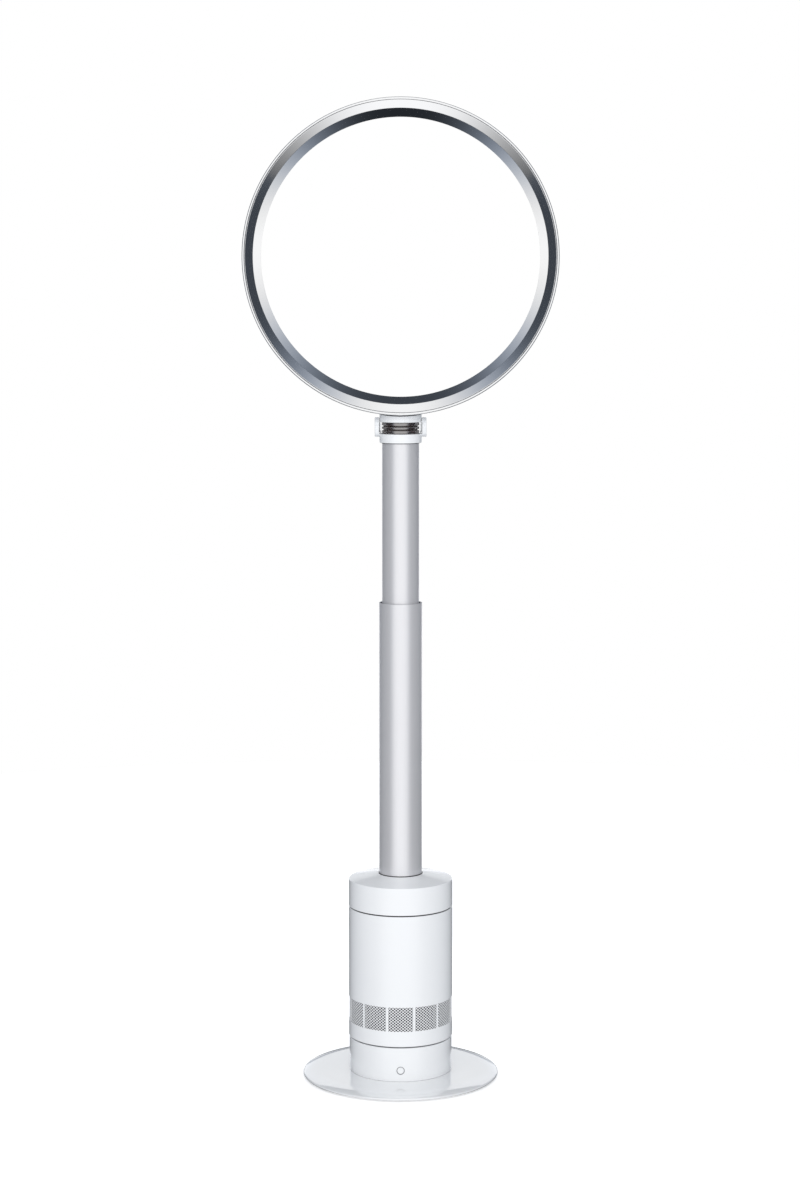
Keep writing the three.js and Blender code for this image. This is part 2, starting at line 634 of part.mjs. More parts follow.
function blowerBucket() {
  const skin = bucket.wall;
  const mouth = bucket.inletRadius;
  const shell = turned([
    [mouth, impellerBottom], [mouth + 0.8, bucketBottom + 1.2], [mouth + 4, bucketBottom],
    [mouth + 6, bucketBottom + 1], [mouth + skin + 1.2, impellerBottom],
    [bucket.radius + skin, bucketConeTop], [bucket.radius + skin, bucketTop], [bucket.radius, bucketTop],
    [bucket.radius, bucketConeTop],
  ]);
  const half = mounts.radius + 1;
  const reach = bucket.radius + skin + bucket.lug;
  const lug = block(bucket.radius + 1, reach, -half, half, bucketTop - bucket.flange, bucketTop);
  return join(shell, ...around(mounts.count, 90, (angle) => lug.rotate([0, 0, angle])));
}

function mountBlocks() {
  const bottom = bucketTop - bucket.flange - mounts.height;
  return around(mounts.count, 90, (angle) =>
    placedOn(mounts.circle, angle, disc(mounts.radius, bottom, bottom + mounts.height, SMALL_FACETS)));
}

// The hub flares from its nose to its back plate.
const hubRadius = (share) =>
  impeller.noseRadius + (impeller.backRadius - impeller.noseRadius) * share ** 1.5;

// One blade from the hub to just inside the shroud, wrapped round the axis as it rises.
function blade(angle) {
  const stations = 3;
  const place = [];
  for (let i = 0; i <= stations; i += 1) {
    const share = i / stations;
    const height = impellerBottom + 0.8 + share * (impeller.height - 0.8);
    const root = 0.8 * hubRadius(share);
    const tip = shroudRadius(height) - impeller.tipGap;
    const turn = angle + impeller.wrap * (1 - (1 - share) ** 1.6);
    for (const r of [root, tip]) {
      const half = impeller.bladeThickness / 2 / r / degrees;
      place.push([...onCircle(r, turn - half), height], [...onCircle(r, turn + half), height]);
    }
  }
  const faces = [];
  const quad = (a, b, c, d) => faces.push(a, b, c, a, c, d);
  for (let i = 0; i < stations; i += 1) {
    const [n, m] = [4 * i, 4 * i + 4];
    quad(n, n + 2, m + 2, m);
    quad(n + 3, n + 1, m + 1, m + 3);
    quad(n + 1, n, m, m + 1);
    quad(n + 2, n + 3, m + 3, m + 2);
  }
  quad(0, 1, 3, 2);
  const last = 4 * stations;
  quad(last + 1, last, last + 2, last + 3);
  const geometry = new THREE.BufferGeometry();
  geometry.setAttribute("position", new THREE.Float32BufferAttribute(place.flat(), 3));
  geometry.setIndex(faces);
  return solid(geometry);
}

function impellerWheel() {
  const steps = 3;
  const cone = Array.from({ length: steps + 1 }, (_, i) =>
    [hubRadius(i / steps), impellerBottom + (impeller.height * i) / steps]);
  const bore = motor.shaft + seatGap;
  const top = impellerTop + impeller.backPlate;
  const noseTip = impellerBottom - 2;
  const wheel = turned([
    [bore, noseTip], [impeller.noseRadius * 0.6, noseTip], ...cone, [impeller.backRadius, top], [bore, top],
  ], 2 * impeller.blades);
  return join(wheel, ...around(impeller.blades, 0, blade));
}

const motorShaft = () =>
  disc(motor.shaft, impellerBottom - 3, motorTop - motor.wall - looseGap, SMALL_FACETS);

const bearingAt = (bottom) =>
  tube(motor.bearing - seatGap, motor.shaft + seatGap, bottom, bottom + motor.bearingHeight, COARSE_FACETS);

const lowerBearingBottom = motorBottom + 0.5;
const upperBearingBottom = motorTop - motor.wall - motor.bearingHeight - 0.5;

// The motor's can is open below, where the lower bearing's carrier closes it.
function motorCan() {
  const inner = motor.radius - motor.wall;
  const seat = motor.bearing;
  const lip = upperBearingBottom - 2;
  return turned([
    [0, motorTop], [motor.radius - motor.dome, motorTop], [motor.radius, motorTop - motor.dome],
    [motor.radius, motorBottom + motor.joint], [inner, motorBottom + motor.joint], [inner, lip],
    [seat, lip], [seat, motorTop - motor.wall], [0, motorTop - motor.wall],
  ], COARSE_FACETS);
}

function bearingCarrier() {
  const seat = motor.bearing;
  const rise = motor.radius - motor.wall - seatGap;
  const low = motorBottom - 0.5;
  const joint = motorBottom + motor.joint - seatGap;
  const ceiling = lowerBearingBottom + motor.bearingHeight + 0.3;
  return turned([
    [motor.shaft + 1, low], [motor.radius, low], [motor.radius, joint], [rise, joint], [rise, ceiling],
    [seat, ceiling], [seat, lowerBearingBottom], [motor.shaft + 1, lowerBearingBottom],
  ], COARSE_FACETS);
}

function diffuserRing() {
  const low = motorBottom + 7;
  const high = low + diffuser.height;
  const inner = motor.radius + seatGap;
  const reach = bucket.radius - 0.5;
  const sleeve = tube(inner + diffuser.wall, inner, low, high, COARSE_FACETS);
  const half = diffuser.vaneThickness / 2;
  const slant = Math.tan(diffuser.lean * degrees) * diffuser.height;
  const shape = new THREE.Shape();
  shape.moveTo(-half - slant / 2, low + 1);
  shape.lineTo(half - slant / 2, low + 1);
  shape.lineTo(half + slant / 2, high - 1);
  shape.lineTo(-half + slant / 2, high - 1);
  shape.closePath();
  const vanes = around(diffuser.vanes, 0, (angle) => {
    const vane = new THREE.ExtrudeGeometry(shape, { depth: reach - inner - 1, bevelEnabled: false });
    return solid(vane.rotateX(Math.PI / 2).translate(0, reach, 0)).rotate([0, 0, angle]);
  });
  return join(sleeve, ...vanes).intersect(disc(reach, low - 1, high + 1));
}

// A funnel from the bucket to the socket that holds the column's outer tube.
function ductAdapter() {
  const rim = bucket.radius + bucket.wall;
  const pipe = outerTube.radius + seatGap;
  const throat = outerTube.radius - outerTube.wall;
  const coneTop = bucketTop + adapter.coneHeight;
  const socketTop = tubeSeat + adapter.socket;
  return turned([
    [bucket.radius, bucketTop], [rim, bucketTop], [rim, bucketTop + 2], [pipe + adapter.wall, coneTop],
    [pipe + adapter.wall, socketTop], [pipe, socketTop], [pipe, tubeSeat], [throat, tubeSeat],
    [throat, coneTop], [bucket.radius, bucketTop + 1.5],
  ]);
}

// ---------------------------------------------------------------- column

function lowerTube() {
  const r = outerTube.radius;
  const inner = r - outerTube.wall;
  const c = outerTube.chamfer;
  return turned([
    [inner, tubeSeat], [r, tubeSeat], [r, outerTubeTop - c], [r - c, outerTubeTop], [inner + c, outerTubeTop],
    [inner, outerTubeTop - c],
  ]);
}

function tubeFootGasket() {
  const inner = outerTube.radius + seatGap;
  const top = capTop + tubeGasket.height;
  return turned([
    [inner, capTop], [inner + tubeGasket.width, capTop], [inner + tubeGasket.width * 0.6, top], [inner, top],
  ]);
}

function upperBush() {
  const outer = outerTube.radius - outerTube.wall - seatGap;
  const top = outerTubeTop - guideBush.recess;
  return tube(outer, innerTube.radius + slideGap, top - guideBush.length, top);
}

function upperTube() {
  const r = innerTube.radius;
  return tube(r, r - innerTube.wall, innerTubeBottom, innerTubeTop);
}

const lowerBushBottom = innerTubeBottom + slideBush.start;

function lowerBush() {
  const inner = innerTube.radius + seatGap;
  const outer = outerTube.radius - outerTube.wall - slideGap;
  const top = lowerBushBottom + slideBush.length;
  const grooveLow = (lowerBushBottom + top - slideBush.ringWidth) / 2 - seatGap;
  const grooveHigh = grooveLow + slideBush.ringWidth + 2 * seatGap;
  const grooveInner = outer - slideBush.groove;
  return turned([
    [inner, lowerBushBottom], [outer, lowerBushBottom], [outer, grooveLow], [grooveInner, grooveLow],
    [grooveInner, grooveHigh], [outer, grooveHigh], [outer, top], [inner, top],
  ]);
}

// A split ring that springs out against the outer tube, and holds the hoop at any height.
function brakeRing() {
  const outer = outerTube.radius - outerTube.wall - seatGap;
  const inner = outerTube.radius - outerTube.wall - slideGap - slideBush.groove + seatGap;
  const low = lowerBushBottom + (slideBush.length - slideBush.ringWidth) / 2;
  const high = low + slideBush.ringWidth;
  const half = slideBush.ringSlot / 2;
  return cut(tube(outer, inner, low, high), wedge(outer + 2, 90 - half, 90 + half, low - 1, high + 1));
}

// ---------------------------------------------------------------- neck and tilt joint

const earInner = neck.radius + pivot.earGap / 2;
const earOuter = earInner + pivot.earThickness;
const lugOuter = earInner - washer.thickness - 2 * seatGap;
const lugInner = lugOuter - pivot.lugThickness;
const lugRadius = pivotHeight - openingBottom - 0.8;

const neckSpigot = neck.bore + neck.spigotWall;

function neckYoke() {
  const top = openingBottom;
  const tubeSocket = innerTube.radius + seatGap;
  const socketTop = innerTubeTop + seatGap;
  const collar = turned([
    [tubeSocket, neckBottom], [neck.radius - 0.8, neckBottom], [neck.radius, neckBottom + 0.8],
    [neck.radius, top - 0.4], [neck.radius - 0.4, top], [neckSpigot, top], [neckSpigot, top + neck.spigot],
    [neck.bore, top + neck.spigot], [neck.bore, socketTop], [tubeSocket, socketTop],
  ]);
  const ears = [-1, 1].flatMap((side) => {
    const rim = rodAlongX(pivot.earRadius, ...span(side, earInner, earOuter), 0, pivotHeight);
    const [from, to] = span(side, tubeSocket + 1.1, earOuter);
    const foot = block(from, to, -pivot.earFoot, pivot.earFoot, pivotHeight - pivot.earRadius, top - 0.1);
    return [rim, foot.intersect(rodAlongX(pivot.earRadius, from - 1, to + 1, 0, pivotHeight))];
  });
  const holes = [-1, 1].flatMap((side) => {
    const headSeat = earOuter - pivot.headDepth - seatGap;
    return [
      rodAlongX(pivot.radius + seatGap, ...span(side, earInner - 1, earOuter + 1), 0, pivotHeight),
      rodAlongX(pivot.screwHead + seatGap, ...span(side, headSeat, earOuter + 1), 0, pivotHeight),
    ];
  });
  return cut(join(collar, ...ears), ...holes);
}

function pivotPin(side) {
  const headInner = earOuter - pivot.headDepth;
  const shank = rodAlongX(pivot.radius, ...span(side, lugInner + seatGap, headInner + 0.2), 0, pivotHeight);
  const head = rodAlongX(pivot.screwHead, ...span(side, headInner, earOuter - seatGap), 0, pivotHeight);
  return join(shank, head);
}

function tiltWasher(side) {
  const near = lugOuter + seatGap;
  const far = near + washer.thickness;
  const whole = rodAlongX(washer.radius, ...span(side, near, far), 0, pivotHeight);
  return cut(whole, rodAlongX(pivot.radius + slideGap, ...span(side, near - 1, far + 1), 0, pivotHeight));
}

// Three ribs between two short straight cuffs, round a plain bore.
function neckBellows() {
  const low = openingBottom + slideGap;
  const high = openingTop - slideGap;
  const { ridges, ridgeRadius, valleyRadius, wall, crest, cuff } = bellows;
  const pitch = (high - low - 2 * cuff) / ridges;
  const outside = [[valleyRadius, low], [valleyRadius, low + cuff]];
  for (let i = 0; i < ridges; i += 1) {
    const middle = low + cuff + pitch * (i + 0.5);
    outside.push([ridgeRadius, middle - crest / 2], [ridgeRadius, middle + crest / 2]);
    outside.push([valleyRadius, middle + pitch / 2]);
  }
  return turned([...outside, [valleyRadius, high], [valleyRadius - wall, high], [valleyRadius - wall, low]]);
}

// The upper collar rises round the seal to a saddle that follows the hoop, and its lugs hang between the ears.
function hoopMount() {
  const socket = neck.bore + spigotPipe.wall + seatGap;
  const floor = openingTop + 1.5;
  const lip = neck.radius - neckSeal.inset + seatGap;
  const saddleTop = hoopBottom + neck.saddleRise;
  const blank = turned([
    [neck.bore, openingTop - neck.spigot], [neckSpigot, openingTop - neck.spigot], [neckSpigot, openingTop],
    [neck.radius - 0.4, openingTop], [neck.radius, openingTop + 0.4], [neck.radius, saddleTop],
    [lip, saddleTop], [lip, mountTop], [socket, mountTop], [socket, floor], [neck.bore, floor],
  ]);
  const collar = cut(blank, saddleCutter(neck.saddleGap));
  const lugs = [-1, 1].flatMap((side) => {
    const [from, to] = span(side, lugInner, lugOuter);
    return [
      rodAlongX(lugRadius, from, to, 0, pivotHeight),
      block(from, to, -pivot.lugHalfWidth, pivot.lugHalfWidth, pivotHeight, openingTop + 2),
    ];
  });
  const clearBellows = disc(bellows.ridgeRadius + looseGap, openingBottom - 10, openingTop - 0.01);
  const holes = rodAlongX(pivot.radius + slideGap, -earOuter, earOuter, 0, pivotHeight);
  return cut(join(collar, ...lugs.map((lug) => cut(lug, clearBellows))), holes);
}

// The hoop's underside, grown by a gap.
const saddleCutter = (gap) =>
  rodAlongY(hoop.radius + gap, -hoop.front, hoop.rear, 0, hoopCentre, HOOP_FACETS);

function saddleSeal() {
  const outer = neck.radius - neckSeal.inset;
  const inner = neck.bore + spigotPipe.wall + seatGap;
  return cut(tube(outer, inner, mountTop, hoopBottom + 4), saddleCutter(seatGap));
}

// ---------------------------------------------------------------- hoop

const curlCentre = [throatRadius + slot.curve, flare.throatBack];

// A point on the curved tail of the inner casing, pushed out by an offset towards the slot.
function onCurl(angle, offset = 0) {
  const reach = slot.curve + offset;
  return [curlCentre[0] - reach * Math.cos(angle * degrees), curlCentre[1] + reach * Math.sin(angle * degrees)];
}

// White outer casing: front rim, outer wall, round back, and the lip that forms the slot's outer side.
function outerCasing() {
  const backOuter = hoop.radius - 0.6;
  const backRound = (backOuter - throatRadius - 1.4) / 2;
  const middle = [backOuter - backRound, hoop.rear - backRound];
  const face = -hoop.front;
  const inner = hoop.radius - hoop.wall;
  const lipTip = onCurl(slot.overlapStart, slot.gap);
  const lipRoot = onCurl(slot.overlapEnd, slot.gap);
  const profile = [
    [rimInner, face + 0.5], [rimInner + 0.5, face], [rimRadius - 0.8, face], [rimRadius, face + 0.8],
    [rimRadius + 1.3, face + hoop.rimDepth], [hoop.radius, face + hoop.widest],
    ...arc(middle, backRound, 0, 180, 4),
    lipTip, lipRoot,
    ...arc(middle, backRound - hoop.wall, 180, 0, 3),
    [inner, face + hoop.widest], [rimInner, face + hoop.rimDepth],
  ];
  const shell = turnedAboutY(profile).translate([0, 0, hoopCentre]);
  const pipeBottom = mountTop - spigotPipe.depth;
  const pipe = disc(neck.bore + spigotPipe.wall, pipeBottom, hoopBottom + 6);
  const passage = disc(neck.bore, pipeBottom - 1, hoopBottom + 9);
  const [low, high] = [face + hoop.rimDepth, middle[1]];
  const inside = turnedAboutY([[inner, low], [inner, high], [inner - 14, high], [inner - 14, low]])
    .translate([0, 0, hoopCentre]);
  return cut(join(shell, cut(pipe, inside)), passage);
}

// Silvered inner casing: front flare, long diffuser wall, and the curved tail that the air clings to.
function innerCasing() {
  const rim = rimInner - looseGap;
  const front = -hoop.front;
  const bendAt = front + flare.depth;
  const along = (t) =>
    [bendRadius - flare.taper * (1.25 * t - 0.25 * t * t), bendAt + (flare.throatBack - bendAt) * t];
  const face = [[rim - 0.3, front], [bendRadius + 0.6, bendAt - 0.6], along(0.02), along(0.5)];
  const tail = [0, 20, 40, slot.curlEnd].map((angle) => onCurl(angle));
  const tailInside = [slot.curlEnd, 25].map((angle) => onCurl(angle, -flare.wall));
  const faceInside = [along(0.5), along(0.02)].map(([r, y]) => [r + flare.wall, y]);
  const spacer = rim - flare.spacer;
  const profile = [
    ...face, ...tail, ...tailInside, ...faceInside, [spacer, front + 6], [spacer, front + flare.spacerDepth],
    [rim, front + flare.spacerDepth], [rim, front + 0.3],
  ];
  return turnedAboutY(profile).translate([0, 0, hoopCentre]);
}

// ---------------------------------------------------------------- the assembly

piece("foot_ring", footRing(), darkRubber);
piece("base_plate", basePlate(), plateWhite);
piece("ballast_disc", ballastDisc(), steel);
plateScrews().forEach((screw, i) => piece(`plate_screw_${i + 1}`, screw, steel));
piece("base_housing", baseHousing(), glossWhite);
piece("base_deck", baseDeck(), greyPlastic);
piece("button_bezel", buttonBezel(), greyPlastic);
piece("power_button", powerButton(), glossWhite);
piece("button_switch", buttonSwitch(), acetal);
piece("cable_gland", cableGland(), darkRubber);
piece("control_board", controlBoard(), boardGreen);
piece("sweep_motor", stepperMotor(), steel);
piece("drive_pinion", drivePinion(), acetal);
piece("thrust_ring", tube(thrustRing.outer, thrustRing.inner, deckTop, thrustTop), acetal);

piece("turntable", turntablePlate(), greyPlastic);
piece("drive_sector", driveSector(), acetal);
piece("hub_collar", hubCollar(), steel);
piece("body_casing", bodyCasing(), glossWhite);
piece("inlet_grille", inletGrille(), glossWhite);
piece("intake_foam", intakeFoam(), foamGrey);
piece("blower_bucket", blowerBucket(), greyPlastic);
mountBlocks().forEach((mount, i) => piece(`blower_mount_${i + 1}`, mount, darkRubber));
piece("diffuser", diffuserRing(), greyPlastic);
piece("motor_can", motorCan(), steel);
piece("bearing_carrier", bearingCarrier(), steel);
piece("bearing_lower", bearingAt(lowerBearingBottom), steel);
piece("bearing_upper", bearingAt(upperBearingBottom), steel);
piece("duct_adapter", ductAdapter(), greyPlastic);
piece("cap_gasket", capGasket(), darkRubber);
piece("top_cap", topCap(), glossWhite);
piece("outer_tube", lowerTube(), anodised);
piece("tube_gasket", tubeFootGasket(), darkRubber);
piece("guide_bush", upperBush(), acetal);

piece("impeller", impellerWheel(), acetal);
piece("motor_shaft", motorShaft(), steel);

piece("inner_tube", upperTube(), anodised);
piece("slide_bush", lowerBush(), acetal);
piece("brake_ring", brakeRing(), acetal);
piece("neck_yoke", neckYoke(), glossWhite);
piece("neck_bellows", neckBellows(), bellowsBrown);
piece("pivot_pin_left", pivotPin(-1), glossWhite);
piece("pivot_pin_right", pivotPin(1), glossWhite);
piece("tilt_washer_left", tiltWasher(-1), acetal);
piece("tilt_washer_right", tiltWasher(1), acetal);

piece("hoop_mount", hoopMount(), glossWhite);
piece("neck_seal", saddleSeal(), darkRubber);
piece("hoop_outer_casing", outerCasing(), glossWhite);
piece("hoop_inner_casing", innerCasing(), silvered);

export default fan;
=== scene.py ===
"""A free-standing bladeless fan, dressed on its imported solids.

The hoop, the tilting neck, the telescopic column, the blower body with its perforated inlet, the base and the
flat foot are modelled anew over their solids, and what is inside them keeps its solids with a finish of its own.
Lengths are in metres. The front is -Y and up is +Z.
"""

import json
import math

import bpy
from bpy.props import FloatProperty, FloatVectorProperty, IntProperty, PointerProperty
from mathutils import Matrix, Vector


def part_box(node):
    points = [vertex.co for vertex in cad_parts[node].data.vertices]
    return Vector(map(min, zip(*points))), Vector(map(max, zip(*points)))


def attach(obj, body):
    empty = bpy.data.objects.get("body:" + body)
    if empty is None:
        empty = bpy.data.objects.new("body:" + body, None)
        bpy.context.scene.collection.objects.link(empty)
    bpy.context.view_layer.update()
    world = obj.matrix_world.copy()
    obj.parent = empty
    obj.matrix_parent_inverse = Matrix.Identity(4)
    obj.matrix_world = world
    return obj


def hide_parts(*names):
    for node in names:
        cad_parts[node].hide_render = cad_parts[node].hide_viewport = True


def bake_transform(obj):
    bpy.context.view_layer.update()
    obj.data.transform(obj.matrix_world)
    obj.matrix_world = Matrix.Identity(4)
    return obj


bl_info = {
    "name": "Bladeless Fan",
    "version": (1, 0, 0),
    "blender": (4, 5, 0),
    "location": "View3D > Sidebar > Fan",
    "description": "Models the fan's visible pieces over its solids, and sets the stage",
    "category": "Object",
}

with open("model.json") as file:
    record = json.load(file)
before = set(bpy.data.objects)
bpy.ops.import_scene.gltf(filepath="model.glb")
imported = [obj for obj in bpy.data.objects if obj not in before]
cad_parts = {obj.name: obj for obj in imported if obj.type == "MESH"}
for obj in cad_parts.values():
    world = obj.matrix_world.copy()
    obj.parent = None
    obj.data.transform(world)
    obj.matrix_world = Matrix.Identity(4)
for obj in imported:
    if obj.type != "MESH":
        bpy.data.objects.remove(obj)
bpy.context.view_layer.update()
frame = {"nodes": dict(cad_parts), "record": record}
BODY_OF = {node: body for body, nodes in frame["record"]["behaviour"]["bodies"].items() for node in nodes}
SLOT_OF = {part["node"]: part["material_slot"] for part in frame["record"]["subparts"]}

MM = 0.001
ALONG = {"X": Vector((1, 0, 0)), "Y": Vector((0, 1, 0)), "Z": Vector((0, 0, 1))}
SMOOTH_BELOW = math.radians(28)
SHARP_ABOVE = math.radians(40)
ONE_POINT = 2e-6
NECK_BORE = 18.5 * MM

# how many sides a turned piece has, from the pins up to the hoop and to what is cut to the hoop's shape
PIN_SIDES, EAR_SIDES, TUBE_SIDES, BODY_SIDES, HOOP_SIDES, SADDLE_SIDES = 64, 96, 128, 192, 256, 384


# ---- sizes and colours a user may change


def count(name, description, default):
    return IntProperty(name=name, description=description, default=default)


def length(name, description, default):
    return FloatProperty(name=name, description=description, default=default, unit="LENGTH", subtype="DISTANCE")


def tone(name, description, default):
    return FloatVectorProperty(name=name, description=description, default=default, subtype="COLOR",
                               size=3, min=0, max=1)


class FanSizes(bpy.types.PropertyGroup):
    plate_radius: length("Plate radius", "Outer radius of the flat foot plate", 0.121)
    plate_flat: length("Plate flat", "Radius at which the plate's top starts to fall", 0.097)
    foot_radius: length("Foot ring radius", "Outer radius of the rubber ring under the plate", 0.114)
    base_radius: length("Base radius", "Outer radius of the fixed base housing", 0.0635)
    body_radius: length("Body radius", "Outer radius of the turning body and its cap", 0.06425)
    button_radius: length("Button radius", "Radius of the power button", 0.0042)
    window_bottom: length("Window bottom", "Height of the lower edge of the inlet windows", 0.0708)
    window_top: length("Window top", "Height of the upper edge of the inlet windows", 0.1005)
    hole_radius: length("Hole radius", "Radius of one hole of the perforated inlet", 0.00112)
    lower_tube: length("Lower tube radius", "Outer radius of the lower tube of the column", 0.0265)
    upper_tube: length("Upper tube radius", "Outer radius of the sliding upper tube", 0.02275)
    neck_radius: length("Neck radius", "Outer radius of the two neck collars", 0.02615)
    ear_radius: length("Ear radius", "Radius of the round ears of the tilt joint", 0.012)
    hoop_radius: length("Hoop radius", "Largest radius of the hoop", 0.194)
    rim_radius: length("Rim radius", "Outer radius of the hoop's thin front rim", 0.1918)
    bend_radius: length("Bend radius", "Radius at which the front band meets the long inner wall", 0.1788)
    band_depth: length("Band depth", "How far the front band falls back from the rim to the bend", 0.006)
    windows: count("Windows", "Number of inlet windows round the body", 12)
    hole_columns: count("Hole columns", "Pairs of hole columns round the body", 96)
    duct_ridges: count("Duct ridges", "Ridges of the neck's rubber duct", 3)


class FanFinish(bpy.types.PropertyGroup):
    white: tone("White", "Gloss white of the body, the base and the hoop's back", (0.905, 0.917, 0.93))
    plate: tone("Plate white", "High gloss white of the foot plate", (0.905, 0.917, 0.93))
    tube: tone("Tube silver", "Satin anodised silver of the two tubes", (0.86, 0.858, 0.88))
    hoop: tone("Hoop silver", "Silver of the hoop's front band and inner wall", (0.95, 0.955, 0.965))
    rubber: tone("Rubber", "Dark rubber of the rings and seals", (0.02, 0.019, 0.02))
    duct: tone("Duct", "Brown-black rubber of the neck's duct", (0.035, 0.02, 0.018))
    grey: tone("Grey", "Grey plastic of the hidden mouldings", (0.22, 0.225, 0.235))


# ---- measuring, choosing and turning


def span(node, axis="z"):
    """The lowest and the highest place of a node along an axis."""
    return [getattr(corner, axis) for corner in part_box(node)]


def mid_height(node):
    return sum(span(node)) / 2


def hoop_middle():
    return (0, 0, mid_height("hoop_inner_casing"))


def clear_selection():
    if bpy.context.object and bpy.context.object.mode != "OBJECT":
        leave_edit()
    bpy.ops.object.select_all(action="DESELECT")


def only(piece):
    clear_selection()
    piece.select_set(True)
    bpy.context.view_layer.objects.active = piece


def unselect(mesh):
    """Deselects the mesh's points, edges and faces."""
    for items in (mesh.vertices, mesh.edges, mesh.polygons):
        items.foreach_set("select", [False] * len(items))


def edit_all():
    """Opens the active piece in edit mode with all of it selected."""
    bpy.ops.object.mode_set(mode="EDIT")
    bpy.ops.mesh.select_all(action="SELECT")


def leave_edit():
    bpy.ops.object.mode_set(mode="OBJECT")


def pick(piece, kind, test):
    """Opens the piece in edit mode with the points, edges or faces selected whose middle passes the test."""
    only(piece)
    mesh = piece.data
    unselect(mesh)
    points = [vertex.co.copy() for vertex in mesh.vertices]
    items = {"VERT": mesh.vertices, "EDGE": mesh.edges, "FACE": mesh.polygons}[kind]
    middle = {
        "VERT": lambda vertex: points[vertex.index],
        "EDGE": lambda edge: (points[edge.vertices[0]] + points[edge.vertices[1]]) / 2,
        "FACE": lambda face: face.center,
    }[kind]
    chosen = [item for item in items if test(middle(item))]
    if not chosen:
        raise RuntimeError(f"nothing to choose on {piece.name}")
    for item in chosen:
        item.select = True
    bpy.context.tool_settings.mesh_select_mode = (kind == "VERT", kind == "EDGE", kind == "FACE")
    bpy.ops.object.mode_set(mode="EDIT")


def settle(piece):
    """Merges doubles, turns every face outwards and shades the piece, with its sharp edges kept."""
    only(piece)
    edit_all()
    bpy.ops.mesh.remove_doubles(threshold=ONE_POINT)
    bpy.ops.mesh.normals_make_consistent(inside=False)
    leave_edit()
    bpy.ops.object.shade_smooth_by_angle(angle=SMOOTH_BELOW)


def softened(corners, steps=4):
    """A closed profile with rounded corners, from (radius, height) or (radius, height, rounding) corners.

    A guard point just beyond each end of an arc keeps the shading of the long faces true.
    """
    guard = 1.3
    points = []
    for index, corner in enumerate(corners):
        here = Vector(corner[:2])
        if len(corner) == 2:
            points.append(here)
            continue
        into = (here - Vector(corners[index - 1][:2])).normalized()
        out = (Vector(corners[(index + 1) % len(corners)][:2]) - here).normalized()
        turn = into.angle(out)
        reach = corner[2] * math.tan(turn / 2)
        centre = here + (out - into).normalized() * corner[2] / math.cos(turn / 2)
        sweep = math.copysign(turn, into.cross(out))
        arm = here - into * reach - centre
        points.append(here - into * reach * guard)
        points += [centre + Matrix.Rotation(sweep * step / steps, 2) @ arm for step in range(steps + 1)]
        points.append(here + out * reach * guard)
    return points


def arc(centre, radius, start, end, steps):
    """Points on a circle, from one angle to the other, in degrees."""
    angles = [math.radians(start + (end - start) * step / steps) for step in range(steps + 1)]
    return [(centre[0] + radius * math.cos(a), centre[1] + radius * math.sin(a)) for a in angles]


def turned(name, profile, sides, axis="Z", centre=(0, 0, 0), twist=0.0):
    """Turns a profile of (radius, height) points about an axis: a circle is extruded and resized ring by ring.

    A profile that starts and ends on the axis gives a solid, and any other closes on itself as a ring.
    """
    line = ALONG[axis]
    centre = Vector(centre)
    capped = profile[0][0] == 0
    points = list(profile[1:] if capped else profile)
    radius, height = points[0]
    turn = {"X": (0, math.pi / 2, 0), "Y": (math.pi / 2, 0, 0), "Z": (0, 0, twist)}[axis]
    clear_selection()
    bpy.ops.mesh.primitive_circle_add(vertices=sides, radius=radius, location=centre + line * height,
                                      rotation=turn, fill_type="TRIFAN" if capped else "NOTHING")
    piece = bpy.context.object
    piece.name = name
    piece.data.name = name
    bpy.ops.object.transform_apply()
    bpy.ops.object.mode_set(mode="EDIT")
    bpy.ops.mesh.select_mode(type="EDGE")
    bpy.ops.mesh.select_all(action="SELECT")
    if capped:
        bpy.ops.mesh.region_to_loop()
    for next_radius, next_height in points[1:] + ([] if capped else points[:1]):
        move = line * (next_height - height)
        bpy.ops.mesh.extrude_region_move(TRANSFORM_OT_translate={"value": move})
        if next_radius == 0:
            bpy.ops.mesh.merge(type="CENTER")
            break
        share = next_radius / radius
        size = [1 if step else share for step in line]
        bpy.ops.transform.resize(value=size, center_override=centre + line * next_height)
        radius, height = next_radius, next_height
    leave_edit()
    settle(piece)
    return piece


def block(name, low, high):
    """A block between two corners, for joining to another piece or cutting it."""
    low, high = Vector(low), Vector(high)
    clear_selection()
    bpy.ops.mesh.primitive_cube_add(size=1, location=(low + high) / 2)
    piece = bpy.context.object
    piece.name = name
    piece.scale = high - low
    bpy.ops.object.transform_apply()
    return piece


def modify(piece, name, kind, **settings):
    """Adds a modifier to the active piece and applies it."""
    step = piece.modifiers.new(name, kind)
    for key, value in settings.items():
        setattr(step, key, value)
    bpy.ops.object.modifier_apply(modifier=step.name)


def combine(piece, tool, operation):
    """Joins the tool to the piece or cuts it away, and removes the tool."""
    only(piece)
    modify(piece, "combine", "BOOLEAN", object=tool, operation=operation, solver="EXACT")
    mesh = tool.data
    bpy.data.objects.remove(tool)
    bpy.data.meshes.remove(mesh)
    if not piece.data.polygons:
        raise RuntimeError(f"{piece.name} came out empty")
    settle(piece)


def round_edges(piece, width):
    """Gives the piece's sharp edges a small rounding."""
    only(piece)
    modify(piece, "round", "BEVEL", width=width, segments=2, limit_method="ANGLE", angle_limit=SHARP_ABOVE)
    bpy.ops.object.shade_smooth_by_angle(angle=SMOOTH_BELOW)


def coat(piece, slot):
    """Gives the piece the finish of one of the record's material slots."""
    piece.data.materials.clear()
    piece.data.materials.append(finish(slot))


def dress(piece, node):
    """Gives the piece its node's finish, and has it stand for that node and move with its body."""
    coat(piece, SLOT_OF[node])
    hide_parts(node)
    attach(piece, BODY_OF[node])


def trim(piece, slot, body):
    """Gives a piece that stands for no node its finish, and has it move with a body."""
    coat(piece, slot)
    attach(piece, body)


# ---- finishes


